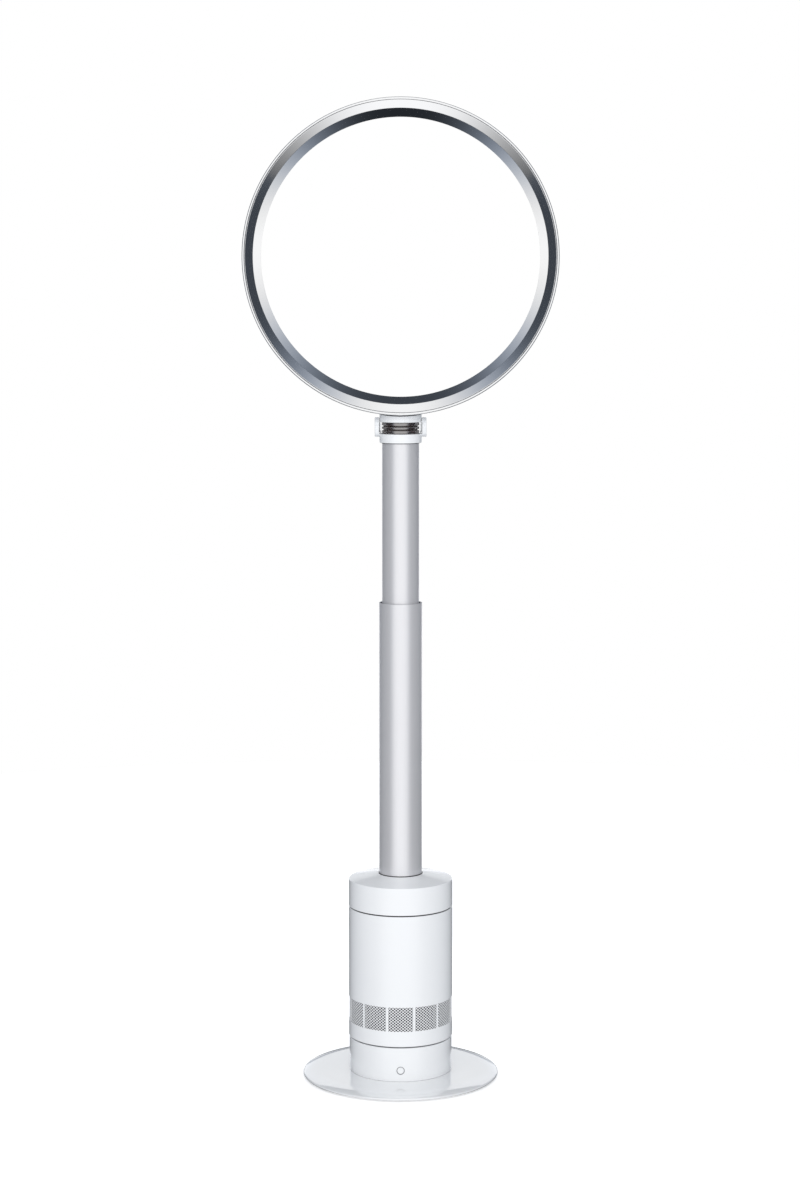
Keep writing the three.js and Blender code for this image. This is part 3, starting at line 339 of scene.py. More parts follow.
def added(tree, kind, inputs=None, **settings):
    """Adds a shader node. An input is a value, or another node's output that is linked to it."""
    node = tree.nodes.new("ShaderNode" + kind)
    for key, value in settings.items():
        setattr(node, key, value)
    for key, value in (inputs or {}).items():
        if isinstance(value, bpy.types.NodeSocket):
            tree.links.new(value, node.inputs[key])
        else:
            node.inputs[key].default_value = value
    return node


def calc(tree, operation, *values, **settings):
    """The result of a Math node."""
    return added(tree, "Math", dict(enumerate(values)), operation=operation, **settings).outputs[0]


def ramp(tree, value, low, high, start=0.0, end=1.0):
    """A smooth rise from start to end as the value goes from low to high."""
    limits = {"From Min": low, "From Max": high, "To Min": start, "To Max": end}
    return added(tree, "MapRange", {"Value": value, **limits}, interpolation_type="SMOOTHSTEP").outputs["Result"]


def noise(tree, place, size, detail):
    return added(tree, "TexNoise", {"Vector": place, "Scale": size, "Detail": detail}).outputs["Fac"]


def centred(tree, mask, spread):
    """A mask moved to lie about zero and scaled by the spread."""
    return calc(tree, "MULTIPLY", calc(tree, "SUBTRACT", mask, 0.5), spread)


def moulded(tree, place, size):
    """Moulded plastic: broad tone drift, faint rubbed patches and a fine moulding grain."""
    return noise(tree, place, 9.0, 2.0), noise(tree, place, 48.0, 4.0), noise(tree, place, size, 2.0)


def drawn(tree, place, size):
    """Drawn and anodised metal: fine streaks along Z over a tight satin grain."""
    lengthwise = added(tree, "VectorMath", {0: place, 1: (1.0, 1.0, 0.02)}, operation="MULTIPLY").outputs[0]
    streak = noise(tree, lengthwise, size, 3.0)
    grain = noise(tree, place, 2600.0, 1.0)
    return streak, grain, calc(tree, "ADD", streak, grain)


def cellular(tree, place, size):
    """Cellular stuff, such as foam or solder mask: rounded cells in tone, roughness and relief."""
    cells = added(tree, "TexVoronoi", {"Vector": place, "Scale": size}).outputs["Distance"]
    return cells, cells, cells


# each kind of surface: its node group's name, what its grain is called, and its masks for tone, roughness and relief
SURFACES = {
    "skin": ("Moulded skin", "Grain", moulded),
    "drawn": ("Drawn metal", "Streak", drawn),
    "cells": ("Cells", "Cell", cellular),
}


def surface_group(kind):
    """The node group of one kind of surface, built once, which every material of that kind shares."""
    name, grain, masks = SURFACES[kind]
    if name in bpy.data.node_groups:
        return bpy.data.node_groups[name]
    tree = bpy.data.node_groups.new(name, "ShaderNodeTree")
    tree.interface.new_socket("Colour", in_out="INPUT", socket_type="NodeSocketColor")
    for socket in ("Drift", "Roughness", "Patches", grain + " size", grain + " depth"):
        tree.interface.new_socket(socket, in_out="INPUT", socket_type="NodeSocketFloat")
    for socket, of in (("Colour", "Color"), ("Roughness", "Float"), ("Normal", "Vector")):
        tree.interface.new_socket(socket, in_out="OUTPUT", socket_type="NodeSocket" + of)
    entry = tree.nodes.new("NodeGroupInput").outputs
    result = tree.nodes.new("NodeGroupOutput").inputs
    place = added(tree, "TexCoord").outputs["Object"]
    shade, wear, relief = masks(tree, place, entry[grain + " size"])
    lift = calc(tree, "ADD", centred(tree, shade, entry["Drift"]), 1.0)
    colour = added(tree, "VectorMath", {0: entry["Colour"], "Scale": lift}, operation="SCALE").outputs[0]
    rough = calc(tree, "ADD", centred(tree, wear, entry["Patches"]), entry["Roughness"], use_clamp=True)
    depth = entry[grain + " depth"]
    bump = added(tree, "Bump", {"Strength": 1.0, "Distance": depth, "Height": relief}).outputs[0]
    for output, socket in ((colour, "Colour"), (rough, "Roughness"), (bump, "Normal")):
        tree.links.new(output, result[socket])
    return tree


# kind of surface, colour, drift, roughness, patches, size and depth of the grain, then the shader's own constants
FINISHES = {
    "gloss_white": ("skin", "white", 0.02, 0.2, 0.05, 420.0, 3e-6,
                    {"Coat Weight": 0.4, "Coat Roughness": 0.12, "IOR": 1.5}),
    "plate_white": ("skin", "plate", 0.015, 0.1, 0.05, 300.0, 2e-6,
                    {"Coat Weight": 1.0, "Coat Roughness": 0.03, "Coat IOR": 2.0, "IOR": 1.8}),
    "silver_tube": ("drawn", "tube", 0.05, 0.36, 0.1, 900.0, 3e-6, {"Metallic": 0.5, "IOR": 1.5}),
    "silver_hoop": ("skin", "hoop", 0.03, 0.12, 0.04, 3200.0, 1.5e-6, {"Metallic": 1.0}),
    "dark_rubber": ("skin", "rubber", 0.3, 0.6, 0.15, 1400.0, 3e-5, {"IOR": 1.48}),
    "bellows_brown": ("skin", "duct", 0.25, 0.22, 0.1, 1100.0, 8e-6,
                      {"Coat Weight": 1.0, "Coat Roughness": 0.18, "Coat IOR": 2.8, "IOR": 2.2}),
    "grey_plastic": ("skin", "grey", 0.06, 0.5, 0.1, 1600.0, 2e-5, {"IOR": 1.48}),
    "acetal": ("skin", (0.03, 0.031, 0.035), 0.1, 0.38, 0.08, 900.0, 1e-5, {"IOR": 1.48}),
    "steel": ("drawn", (0.6, 0.61, 0.63), 0.12, 0.3, 0.12, 1300.0, 6e-6, {"Metallic": 1.0}),
    "board": ("cells", (0.02, 0.13, 0.06), 0.4, 0.4, 0.2, 700.0, 1e-5, {"IOR": 1.5}),
    "foam": ("cells", (0.035, 0.035, 0.04), 0.9, 0.95, 0.1, 900.0, 4e-4, {"IOR": 1.4}),
}


def finish(slot):
    """The material of one of the record's material slots, made once."""
    name = "fan_" + slot
    if name in bpy.data.materials:
        return bpy.data.materials[name]
    kind, colour, drift, rough, patches, size, depth, constants = FINISHES[slot]
    if isinstance(colour, str):
        colour = tuple(getattr(bpy.context.scene.fan_finish, colour))
    material = bpy.data.materials.new(name)
    material.use_nodes = True
    material.diffuse_color = (*colour, 1)
    tree = material.node_tree
    shader = tree.nodes["Principled BSDF"]
    surface = tree.nodes.new("ShaderNodeGroup")
    surface.node_tree = surface_group(kind)
    for socket, value in zip(surface.inputs, [(*colour, 1), drift, rough, patches, size, depth]):
        socket.default_value = value
    for given, taken in (("Colour", "Base Color"), ("Roughness", "Roughness"), ("Normal", "Normal")):
        tree.links.new(surface.outputs[given], shader.inputs[taken])
    for socket, value in constants.items():
        shader.inputs[socket].default_value = value
    return material


# ---- the foot, the base and the body


class FAN_OT_foot(bpy.types.Operator):
    """Models the rubber foot ring and the glossy plate with its falling, rounded rim"""

    bl_idname = "fan.foot"
    bl_label = "Foot"

    def execute(self, context):
        sizes = context.scene.fan_sizes
        low, high = span("foot_ring")
        play = 0.1 * MM
        outer = sizes.foot_radius - play
        inner = outer - 5.8 * MM
        rib, rib_root, groove = 2 * MM, 2.5 * MM, 0.7 * MM
        tread = turned("foot_tread", softened([
            (inner, high), (inner, low, 0.5 * MM),
            (inner + rib, low, 0.3 * MM), (inner + rib_root, low + groove, 0.3 * MM),
            (outer - rib_root, low + groove, 0.3 * MM), (outer - rib, low, 0.3 * MM),
            (outer, low, 0.5 * MM), (outer, high),
        ]), BODY_SIDES)
        dress(tread, "foot_ring")

        groove_top = high
        low, high = span("base_plate")
        edge, flat = sizes.plate_radius, sizes.plate_flat
        nose_radius, drop, curve, steps = 1.6 * MM, 3.1 * MM, 2.2, 12
        slope = edge - nose_radius - flat
        fall = [(flat + slope * t / steps, high - drop * (t / steps) ** curve) for t in range(steps, -1, -1)]
        recess, pocket = sizes.foot_radius - 6.1 * MM, low + 4 * MM
        top = [(0, high), (flat - 1 * MM, high)] + fall[::-1]
        nose = softened([
            fall[0], (edge, high - 3.6 * MM, nose_radius), (edge, low + 1.2 * MM, 0.6 * MM),
            (edge - 1.2 * MM, low, 0.6 * MM), (recess, low),
        ])
        under = [(sizes.foot_radius + play, low), (sizes.foot_radius + play, groove_top), (recess, groove_top),
                 (recess, pocket), (0, pocket)]
        plate = turned("round_plate", top + nose[1:-1] + under, HOOP_SIDES)
        dress(plate, "base_plate")
        return {"FINISHED"}


class FAN_OT_base(bpy.types.Operator):
    """Models the fixed base housing, the power button in its grey ring, and the lead's rubber gland"""

    bl_idname = "fan.base"
    bl_label = "Base"

    def execute(self, context):
        sizes = context.scene.fan_sizes
        low, high = span("base_housing")
        outer = sizes.base_radius
        inner = outer - 2.5 * MM
        deck, ankle, brow = low + 2.5 * MM, low + 6 * MM, low + 22 * MM
        button_at, gland_at = mid_height("button_bezel"), mid_height("cable_gland")
        shell = turned("base_shell", [(0, low), (outer - 0.6 * MM, low)] + softened([
            (outer, low + 0.3 * MM), (outer, ankle), (outer, brow), (outer, high, 0.5 * MM),
            (inner, high, 0.3 * MM), (inner, brow), (inner, ankle), (inner, deck),
        ]) + [(0, deck)], BODY_SIDES)
        ring = sizes.button_radius + 0.7 * MM
        gland_hole, beyond = 5.35 * MM, 4 * MM
        for radius, at, side in ((ring + 0.05 * MM, button_at, -1), (gland_hole, gland_at, 1)):
            near, far = sorted((side * (inner - beyond), side * (outer + beyond)))
            hole = turned("hole", [(0, near), (radius, near), (radius, far), (0, far)], PIN_SIDES, "Y", (0, 0, at))
            combine(shell, hole, "DIFFERENCE")
        dress(shell, "base_housing")

        front, back = span("button_bezel", "y")
        wall = 0.5 * MM
        bezel = turned("button_ring", softened([
            (ring - wall, front, 0.15 * MM), (ring, front, 0.2 * MM), (ring, back), (ring - wall, back),
        ]), EAR_SIDES, "Y", (0, 0, button_at))
        dress(bezel, "button_bezel")

        face, stem = span("power_button", "y")
        across, rounding = sizes.button_radius, 0.45 * MM
        skirt, skirt_front = across + 0.7 * MM, -59.8 * MM
        skirt_back, stem_radius = skirt_front + 1 * MM, 2 * MM
        dished = [(0, face + 0.16 * MM), (across * 0.4, face + 0.16 * MM), (across * 0.6, face + 0.11 * MM),
                  (across * 0.76, face + 0.03 * MM)]
        push = turned("push_button", dished + arc((across - rounding, face + rounding), rounding, -90, 0, 5) + [
            (across, skirt_front), (skirt, skirt_front), (skirt, skirt_back), (stem_radius, skirt_back),
            (stem_radius, stem), (0, stem),
        ], EAR_SIDES, "Y", (0, 0, button_at))
        dress(push, "power_button")

        inside, outside = span("cable_gland", "y")
        bore, waist, flange, rim = 3.6 * MM, 5.3 * MM, 7 * MM, 7.1 * MM
        seat = outer - 0.2 * MM
        sleeve = turned("lead_gland", softened([
            (bore, inside, 0.2 * MM), (flange, inside, 0.4 * MM), (flange, inside + 3 * MM, 0.3 * MM),
            (waist, inside + 3 * MM), (waist, seat), (rim, seat), (rim, outside - 0.9 * MM, 0.7 * MM),
            (5.9 * MM, outside, 0.7 * MM), (4.5 * MM, outside, 0.5 * MM), (bore, outside - 1.5 * MM, 0.5 * MM),
        ]), PIN_SIDES, "Y", (0, 0, gland_at))
        dress(sleeve, "cable_gland")
        return {"FINISHED"}


class FAN_OT_body(bpy.types.Operator):
    """Models the turning body with its window band, the dark joint ring and the cap with its conical shoulder"""

    bl_idname = "fan.body"
    bl_label = "Body"

    def execute(self, context):
        sizes = context.scene.fan_sizes
        low, high = span("body_casing")
        outer = sizes.body_radius
        inner = outer - 2.4 * MM
        seat = outer - 0.6 * MM
        seam = 0.4 * MM
        bottom, top = sizes.window_bottom, sizes.window_top
        lap, edge_band = 1.75 * MM, 0.7 * MM
        windows, facets = sizes.windows, 23
        sides = windows * facets
        body = turned("casing", softened([
            (inner, low + seam, 0.2 * MM), (outer, low + seam, 0.5 * MM), (outer, bottom - edge_band),
            (outer, bottom), (outer, top), (outer, top + edge_band), (outer, high, 0.4 * MM), (inner, high, 0.2 * MM),
            (inner, top + lap), (seat, top + lap), (seat, top), (seat, bottom), (seat, bottom - lap),
            (inner, bottom - lap),
        ]), sides, twist=math.pi / sides)
        panel = 2 * math.pi / windows
        half_post = 1.02 * 2 * math.pi / sides
        open_half = panel / 2 - half_post
        behind_skin = seat - 0.2 * MM

        def off_middle(point):
            around = math.atan2(point.x, -point.y)
            return abs(around - panel * round(around / panel))

        def in_window(point):
            deep = math.hypot(point.x, point.y) > behind_skin
            return deep and bottom < point.z < top and off_middle(point) < open_half

        pick(body, "FACE", in_window)
        bpy.ops.mesh.delete(type="FACE")
        leave_edit()
        margin = 0.02 * MM
        for number in range(windows):
            middle = panel * number

            def on_rim(point):
                around = math.atan2(point.x, -point.y) - middle
                around -= 2 * math.pi * round(around / (2 * math.pi))
                if abs(around) > open_half + math.pi / sides or math.hypot(point.x, point.y) < behind_skin:
                    return False
                level = min(abs(point.z - bottom), abs(point.z - top)) < margin
                upright = bottom < point.z < top and abs(around) > open_half - math.pi / sides
                return level and abs(around) < open_half or upright

            pick(body, "EDGE", on_rim)
            bpy.ops.mesh.bridge_edge_loops()
            leave_edit()
        settle(body)
        round_edges(body, 0.22 * MM)
        dress(body, "body_casing")

        low, high = span("cap_gasket")
        high += seam
        ring_outer, ring_inner = outer - 1.6 * MM, inner - 1 * MM
        joint = turned("joint_ring", softened([
            (ring_inner, low), (ring_outer, low, 0.2 * MM), (ring_outer, high, 0.2 * MM), (ring_inner, high),
        ]), BODY_SIDES)
        dress(joint, "cap_gasket")

        spigot, crown = span("top_cap")
        shoulder = crown - 6.3 * MM
        hole = sizes.lower_tube + 0.3 * MM
        spigot_outer, spigot_inner = outer - 2.6 * MM, outer - 5 * MM
        cap = turned("shoulder_cap", softened([
            (spigot_outer, high), (outer, high, 0.35 * MM), (outer, shoulder, 1.0 * MM),
            (hole + 1.5 * MM, crown, 0.6 * MM), (hole, crown, 0.3 * MM), (hole, crown - 3 * MM),
            (hole + 4 * MM, crown - 3.4 * MM), (spigot_inner, shoulder - 2.4 * MM),
            (spigot_inner, spigot, 0.3 * MM), (spigot_outer, spigot, 0.3 * MM),
        ], steps=5), BODY_SIDES)
        dress(cap, "top_cap")
        return {"FINISHED"}


class FAN_OT_inlet(bpy.types.Operator):
    """Models one perforated cell, repeats it as a flat sheet and rolls the sheet round the body"""

    bl_idname = "fan.inlet"
    bl_label = "Perforated inlet"

    def execute(self, context):
        sizes = context.scene.fan_sizes
        low, high = span("inlet_grille")
        around = sizes.body_radius - 0.7 * MM
        cells, rows, weld = sizes.hole_columns, 9, 1e-5
        wide = 2 * math.pi * around / cells
        tall = (high - low) / (rows + 0.5)
        sheet = self.one_cell(sizes.hole_radius, wide, tall)
        for offset, count in (((wide, 0, 0), cells), ((0, 0, tall), rows)):
            modify(sheet, "repeat", "ARRAY", use_relative_offset=False, use_constant_offset=True,
                   constant_offset_displace=offset, count=count, use_merge_vertices=True, merge_threshold=weld)
        edit_all()
        bpy.ops.mesh.remove_doubles(threshold=weld)
        bpy.ops.transform.translate(value=(-(wide * cells) / 2 + wide / 4, 0, low + tall / 2))
        leave_edit()

        across = [vertex.co.x for vertex in sheet.data.vertices]
        whole_turn = 2 * math.pi * (max(across) - min(across)) / (wide * cells)
        modify(sheet, "roll", "SIMPLE_DEFORM", deform_method="BEND", deform_axis="Z", angle=whole_turn)
        deep = [vertex.co.y for vertex in sheet.data.vertices]
        edit_all()
        bpy.ops.transform.translate(value=(0, -(min(deep) + max(deep)) / 2, 0))
        bpy.ops.mesh.remove_doubles(threshold=2 * weld)
        bpy.ops.mesh.normals_make_consistent(inside=False)
        leave_edit()
        outward = sum(1 if face.center.x * face.normal.x + face.center.y * face.normal.y > 0 else -1
                      for face in sheet.data.polygons)
        modify(sheet, "wall", "SOLIDIFY", thickness=0.25 * MM, offset=-1 if outward > 0 else 1)
        edit_all()
        bpy.ops.mesh.normals_make_consistent(inside=False)
        leave_edit()
        bpy.ops.object.shade_smooth_by_angle(angle=SMOOTH_BELOW)
        dress(sheet, "inlet_grille")

        # painted shade: a dark foam sheet that stands for no part sits just behind the perforation, so that the holes
        # read dark
        inner, outer = sizes.body_radius - 1.9 * MM, sizes.body_radius - 1.3 * MM
        low, high = low + 0.2 * MM, high - 0.2 * MM
        shade_liner = turned("inlet_liner", softened([
            (inner, low, 0.2 * MM), (outer, low, 0.2 * MM), (outer, high, 0.2 * MM), (inner, high, 0.2 * MM),
        ], steps=2), BODY_SIDES)
        trim(shade_liner, "foam", "tower")
        return {"FINISHED"}

    def one_cell(self, radius, wide, tall):
        """Two round holes half a cell apart, each with a sheet round it that runs out to a lozenge."""
        clear_selection()
        bpy.ops.mesh.primitive_circle_add(vertices=12, radius=radius, rotation=(math.pi / 2, 0, 0))
        cell = bpy.context.object
        cell.name = "inlet_mesh"
        bpy.ops.object.transform_apply()
        edit_all()
        bpy.ops.mesh.extrude_region_move(TRANSFORM_OT_translate={"value": (0, 0, 0)})
        leave_edit()
        lean = {vertex.index: round(math.degrees(math.atan2(abs(vertex.co.z), abs(vertex.co.x))))
                for vertex in cell.data.vertices if vertex.select}
        for degrees in (0, 30, 60, 90):
            share = degrees / 90
            flat, up = radius * math.cos(math.radians(degrees)), radius * math.sin(math.radians(degrees))
            grow = [(1 - share) * wide / 2 / flat if degrees < 90 else 1, 1,
                    share * tall / 2 / up if degrees > 0 else 1]
            only(cell)
            unselect(cell.data)
            for index, angle in lean.items():
                cell.data.vertices[index].select = angle == degrees
            bpy.context.tool_settings.mesh_select_mode = (True, False, False)
            bpy.ops.object.mode_set(mode="EDIT")
            bpy.ops.transform.resize(value=grow, center_override=(0, 0, 0))
            leave_edit()
        edit_all()
        bpy.ops.mesh.duplicate_move(TRANSFORM_OT_translate={"value": (wide / 2, 0, tall / 2)})
        leave_edit()
        return cell


# ---- the column and the neck


class FAN_OT_column(bpy.types.Operator):
    """Models the two tubes of the column, the ring at its foot and the dark bush at the lower tube's mouth"""

    bl_idname = "fan.column"
    bl_label = "Column"

    def execute(self, context):
        sizes = context.scene.fan_sizes
        lower, upper = sizes.lower_tube, sizes.upper_tube
        for name, node, outer, inner, rounding in (
            ("tube_foot_ring", "tube_gasket", lower + 0.8 * MM, lower + 0.1 * MM, 0.3 * MM),
            ("lower_tube", "outer_tube", lower, lower - 1.5 * MM, 0.6 * MM),
            ("mouth_bush", "guide_bush", lower - 1.6 * MM, upper + 0.2 * MM, 0.5 * MM),
            ("upper_tube", "inner_tube", upper, upper - 1.25 * MM, 0.4 * MM),
        ):
            low, high = span(node)
            if name == "tube_foot_ring":
                high = low + 0.9 * MM
            piece = turned(name, softened([
                (inner, low), (outer, low, 0.2 * MM), (outer, high, rounding), (inner, high, rounding),
            ]), TUBE_SIDES)
            dress(piece, node)
        return {"FINISHED"}


class FAN_OT_neck(bpy.types.Operator):
    """Models the two neck collars with their ears and lugs, the ribbed duct, the pins, the discs and the seal"""

    bl_idname = "fan.neck"
    bl_label = "Neck"

    def execute(self, context):
        sizes = context.scene.fan_sizes
        bottom = span("neck_yoke")[0]
        opening = bottom + 11 * MM
        pivot = mid_height("pivot_pin_left")
        self.make_lower_collar(sizes, bottom, opening, pivot)
        self.make_duct(sizes)
        self.make_upper_collar(sizes, opening + 14.5 * MM, pivot)
        self.make_pins(pivot)
        return {"FINISHED"}

    def make_lower_collar(self, sizes, bottom, opening, pivot):
        radius = sizes.neck_radius
        socket, socket_top = sizes.upper_tube + 0.1 * MM, bottom + 7.1 * MM
        spigot, spigot_top = NECK_BORE + 1.1 * MM, opening + 3 * MM
        collar = turned("lower_collar", softened([
            (socket, bottom, 0.3 * MM), (radius, bottom, 0.8 * MM), (radius, opening, 0.5 * MM), (spigot, opening),
            (spigot, spigot_top, 0.2 * MM), (NECK_BORE, spigot_top, 0.2 * MM), (NECK_BORE, socket_top),
            (socket, socket_top),
        ]), TUBE_SIDES)
        ear_outer = max(span("neck_yoke", "x")[1], 31.8 * MM)
        ear_inner = ear_outer - 5.4 * MM
        foot_radius, foot_inner, foot_outer = sizes.ear_radius - 0.05 * MM, radius - 2.4 * MM, ear_outer - 1 * MM
        pin_hole, pin_seat, seat_depth = 3.1 * MM, 5.35 * MM, 1.5 * MM
        for side in (-1, 1):
            foot = turned("ear_foot", [
                (0, side * foot_inner), (foot_radius, side * foot_inner), (foot_radius, side * foot_outer),
                (0, side * foot_outer),
            ], EAR_SIDES, "X", (0, 0, pivot))
            only(foot)
            edit_all()
            bpy.ops.mesh.bisect(plane_co=(0, 0, opening - 0.15 * MM), plane_no=(0, 0, 1), use_fill=True,
                                clear_outer=True)
            leave_edit()
            settle(foot)
            combine(collar, foot, "UNION")
            ear = turned("ear", softened([
                (pin_hole, side * ear_inner), (sizes.ear_radius, side * ear_inner, 0.4 * MM),
                (sizes.ear_radius, side * ear_outer, 1.0 * MM), (pin_seat, side * ear_outer, 0.3 * MM),
                (pin_seat, side * (ear_outer - seat_depth)), (pin_hole, side * (ear_outer - seat_depth)),
            ]), EAR_SIDES, "X", (0, 0, pivot))
            combine(collar, ear, "UNION")
        dress(collar, "neck_yoke")

        # painted shade: a thin dark rubber ring that stands for no part darkens the shadow line where the lower collar
        # meets the upper tube
        hug, low, high = sizes.upper_tube + 0.05 * MM, bottom - 0.9 * MM, bottom + 0.2 * MM
        shade_ring = turned("collar_lip", softened([
            (hug, low), (sizes.upper_tube + 0.6 * MM, low, 0.2 * MM), (sizes.upper_tube + 1.1 * MM, high), (hug, high),
        ], steps=2), TUBE_SIDES)
        trim(shade_ring, "dark_rubber", "mast")

    def make_duct(self, sizes):
        low, high = span("neck_bellows")
        crest, belly, groove_depth, groove_width = 22.9 * MM, 0.8 * MM, 2.1 * MM, 0.045
        cuff, wall, margin = 20.6 * MM, 0.9 * MM, 0.5 * MM
        ridges, steps = sizes.duct_ridges, 48
        wave = []
        for index in range(steps + 1):
            share = index / steps
            on_rib = (share * ridges) % 1 - 0.5
            groove = min(abs(share - number / ridges) for number in range(1, ridges))
            across = crest - belly * on_rib ** 2 - groove_depth * math.exp(-((groove / groove_width) ** 2))
            wave.append((across, low + margin + (high - low - 2 * margin) * share))
        outside = [(cuff, low), *wave, (cuff, high)]
        inside = [(across - wall, height) for across, height in reversed(outside)]
        duct = turned("neck_duct", outside + inside, TUBE_SIDES)
        coat(duct, "bellows_brown")
        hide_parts("neck_bellows")
        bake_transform(duct)

    def make_upper_collar(self, sizes, ceiling, pivot):
        radius, under = sizes.neck_radius, hoop_middle()[2] - sizes.hoop_radius
        spigot, shoulder, inner = NECK_BORE + 1.1 * MM, radius - 1.5 * MM, NECK_BORE + 1.8 * MM
        spigot_low, rim, seat, ledge = ceiling - 3 * MM, under + 3.3 * MM, under - 1.5 * MM, ceiling + 1.5 * MM
        upper = turned("upper_collar", softened([
            (NECK_BORE, spigot_low, 0.2 * MM), (spigot, spigot_low, 0.2 * MM), (spigot, ceiling),
            (radius, ceiling, 0.5 * MM), (radius, rim), (shoulder, rim), (shoulder, seat), (inner, seat),
            (inner, ledge), (NECK_BORE, ledge),
        ]), TUBE_SIDES)
        pin_hole, lug_radius, play = 3.1 * MM, 7.15 * MM, 0.02 * MM
        for side in (-1, 1):
            near, far = side * 23.65 * MM, side * 25.85 * MM
            lug = turned("lug", softened([
                (pin_hole, near), (lug_radius, near, 0.3 * MM), (lug_radius, far, 0.3 * MM), (pin_hole, far),
            ]), PIN_SIDES, "X", (0, 0, pivot))
            web = block("web", (min(near, far) + play, -7 * MM, pivot + 4 * MM),
                        (max(near, far) - play, 7 * MM, ceiling + 1 * MM))
            combine(lug, web, "UNION")
            combine(upper, lug, "UNION")
        combine(upper, self.hoop_cutter(sizes.hoop_radius + 0.9 * MM), "DIFFERENCE")
        dress(upper, "hoop_mount")

        outer, top = radius - 1.6 * MM, under + 4 * MM
        seal = turned("collar_seal", softened([(inner, seat), (outer, seat), (outer, top), (inner, top)]), TUBE_SIDES)
        combine(seal, self.hoop_cutter(sizes.hoop_radius + 0.05 * MM), "DIFFERENCE")
        dress(seal, "neck_seal")

    def hoop_cutter(self, radius):
        """A drum as wide as the hoop, which shapes what sits against it."""
        half = 45 * MM
        return turned("saddle", [(0, -half), (radius, -half), (radius, half), (0, half)],
                      SADDLE_SIDES, "Y", hoop_middle())

    def make_pins(self, pivot):
        rounding = 0.5 * MM
        for side, word in ((-1, "left"), (1, "right")):
            root, tip = sorted(abs(place) for place in span(f"pivot_pin_{word}", "x"))
            dished = [(0, tip - 0.5 * MM), (1.6 * MM, tip - 0.5 * MM), (2.1 * MM, tip - 0.1 * MM), (2.4 * MM, tip)]
            head = arc((4.7 * MM, tip - rounding), rounding, 90, 0, 4)
            stem, under_head = 3 * MM, tip - 1.3 * MM
            profile = dished + [(4.6 * MM, tip)] + head + [(5.2 * MM, under_head), (stem, under_head), (stem, root),
                                                           (0, root)]
            pin = turned(f"tilt_pin_{word}", [(r, side * x) for r, x in profile], PIN_SIDES, "X", (0, 0, pivot))
            dress(pin, f"pivot_pin_{word}")
            near, far = span(f"tilt_washer_{word}", "x")
            hole, rim = 3.2 * MM, 6.4 * MM
            disc = turned(f"tilt_disc_{word}", softened([
                (hole, near), (rim, near, 0.1 * MM), (rim, far, 0.1 * MM), (hole, far),
            ], steps=2), PIN_SIDES, "X", (0, 0, pivot))
            dress(disc, f"tilt_washer_{word}")


# ---- the hoop


class FAN_OT_hoop(bpy.types.Operator):
    """Models the hoop: the white casing with its thin rim and rolled back, and the silver band and inner wall"""

    bl_idname = "fan.hoop"
    bl_label = "Hoop"

    def execute(self, context):
        sizes = context.scene.fan_sizes
        front, rear = span("hoop_outer_casing", "y")
        middle = hoop_middle()
        widest, rim, bend = sizes.hoop_radius, sizes.rim_radius, sizes.bend_radius
        rim_inner = rim - 2.9 * MM
        narrowing, throat_at, curl = 6.2 * MM, 24 * MM, 12 * MM
        throat = bend - narrowing

        def on_curl(degrees, out=0.0):
            angle, away = math.radians(degrees), curl + out
            return (throat + curl - away * math.cos(angle), throat_at + away * math.sin(angle))

        slot, casing = 1.3 * MM, 2 * MM
        back_outer = widest - 0.6 * MM
        back_radius = (back_outer - throat - 1.4 * MM) / 2
        back = (back_outer - back_radius, rear - back_radius)
        slot_lip = [on_curl(degrees, slot) for degrees in (35, 43, 52)]
        behind_bead, waist_at, widest_at = front + 2.8 * MM, front + 18 * MM, front + 44 * MM
        shell = turned("hoop_shell", softened([
            (rim_inner, behind_bead, 0.2 * MM), (rim + 0.2 * MM, behind_bead, 0.3 * MM),
            (rim + 1.3 * MM, waist_at, 40 * MM), (widest, widest_at, 60 * MM), *arc(back, back_radius, 2, 176, 24),
            *slot_lip, *arc(back, back_radius - casing, 168, 0, 12), (widest - casing, widest_at),
            (rim_inner, waist_at),
        ], steps=6), HOOP_SIDES, "Y", middle)
        low, under = span("hoop_outer_casing")[0], middle[2] - widest
        pipe_outer, pipe_top, beyond = 20.2 * MM, under + 3.2 * MM, 1 * MM
        pipe = turned("pipe", [(0, low), (pipe_outer, low), (pipe_outer, pipe_top), (0, pipe_top)], EAR_SIDES)
        combine(shell, pipe, "UNION")
        passage_top = under + 9 * MM
        passage = turned("passage", [(0, low - beyond), (NECK_BORE, low - beyond), (NECK_BORE, passage_top),
                                     (0, passage_top)], EAR_SIDES)
        combine(shell, passage, "DIFFERENCE")
        dress(shell, "hoop_outer_casing")

        bead_end = front + 2.6 * MM
        bead = turned("hoop_bead", softened([
            (rim_inner, front, 1.1 * MM), (rim, front, 1.1 * MM), (rim + 0.15 * MM, bead_end, 0.2 * MM),
            (rim_inner, bead_end, 0.2 * MM),
        ], steps=6), HOOP_SIDES, "Y", middle)
        trim(bead, "silver_hoop", "head")

        edge = rim_inner - 0.3 * MM
        bend_at = front + sizes.band_depth
        wall, hidden, hidden_end = 1.8 * MM, edge - 3.4 * MM, front + 16 * MM

        def along(share, out=0.0):
            inward = narrowing * (1.25 * share - 0.25 * share * share)
            return (bend - inward + out, bend_at + (throat_at - bend_at) * share)

        band = softened([
            (edge, hidden_end), (edge, front + 0.1 * MM, 0.35 * MM), (bend, bend_at, 0.5 * MM), along(0.08),
        ], steps=5)[:-1]
        inner_wall = [along(step / 16) for step in range(1, 16)]
        tail = [on_curl(degrees) for degrees in range(0, 63, 6)]
        tail_back = [on_curl(degrees, -wall) for degrees in range(60, 11, -6)]
        wall_back = [along(share, wall) for share in (0.9, 0.5, 0.1)]
        flare = turned("hoop_flare", band + inner_wall + tail + tail_back + wall_back
                       + [(hidden, front + 7 * MM), (hidden, hidden_end)], HOOP_SIDES, "Y", middle)
        dress(flare, "hoop_inner_casing")
        return {"FINISHED"}


# ---- what keeps its solids, and the stage


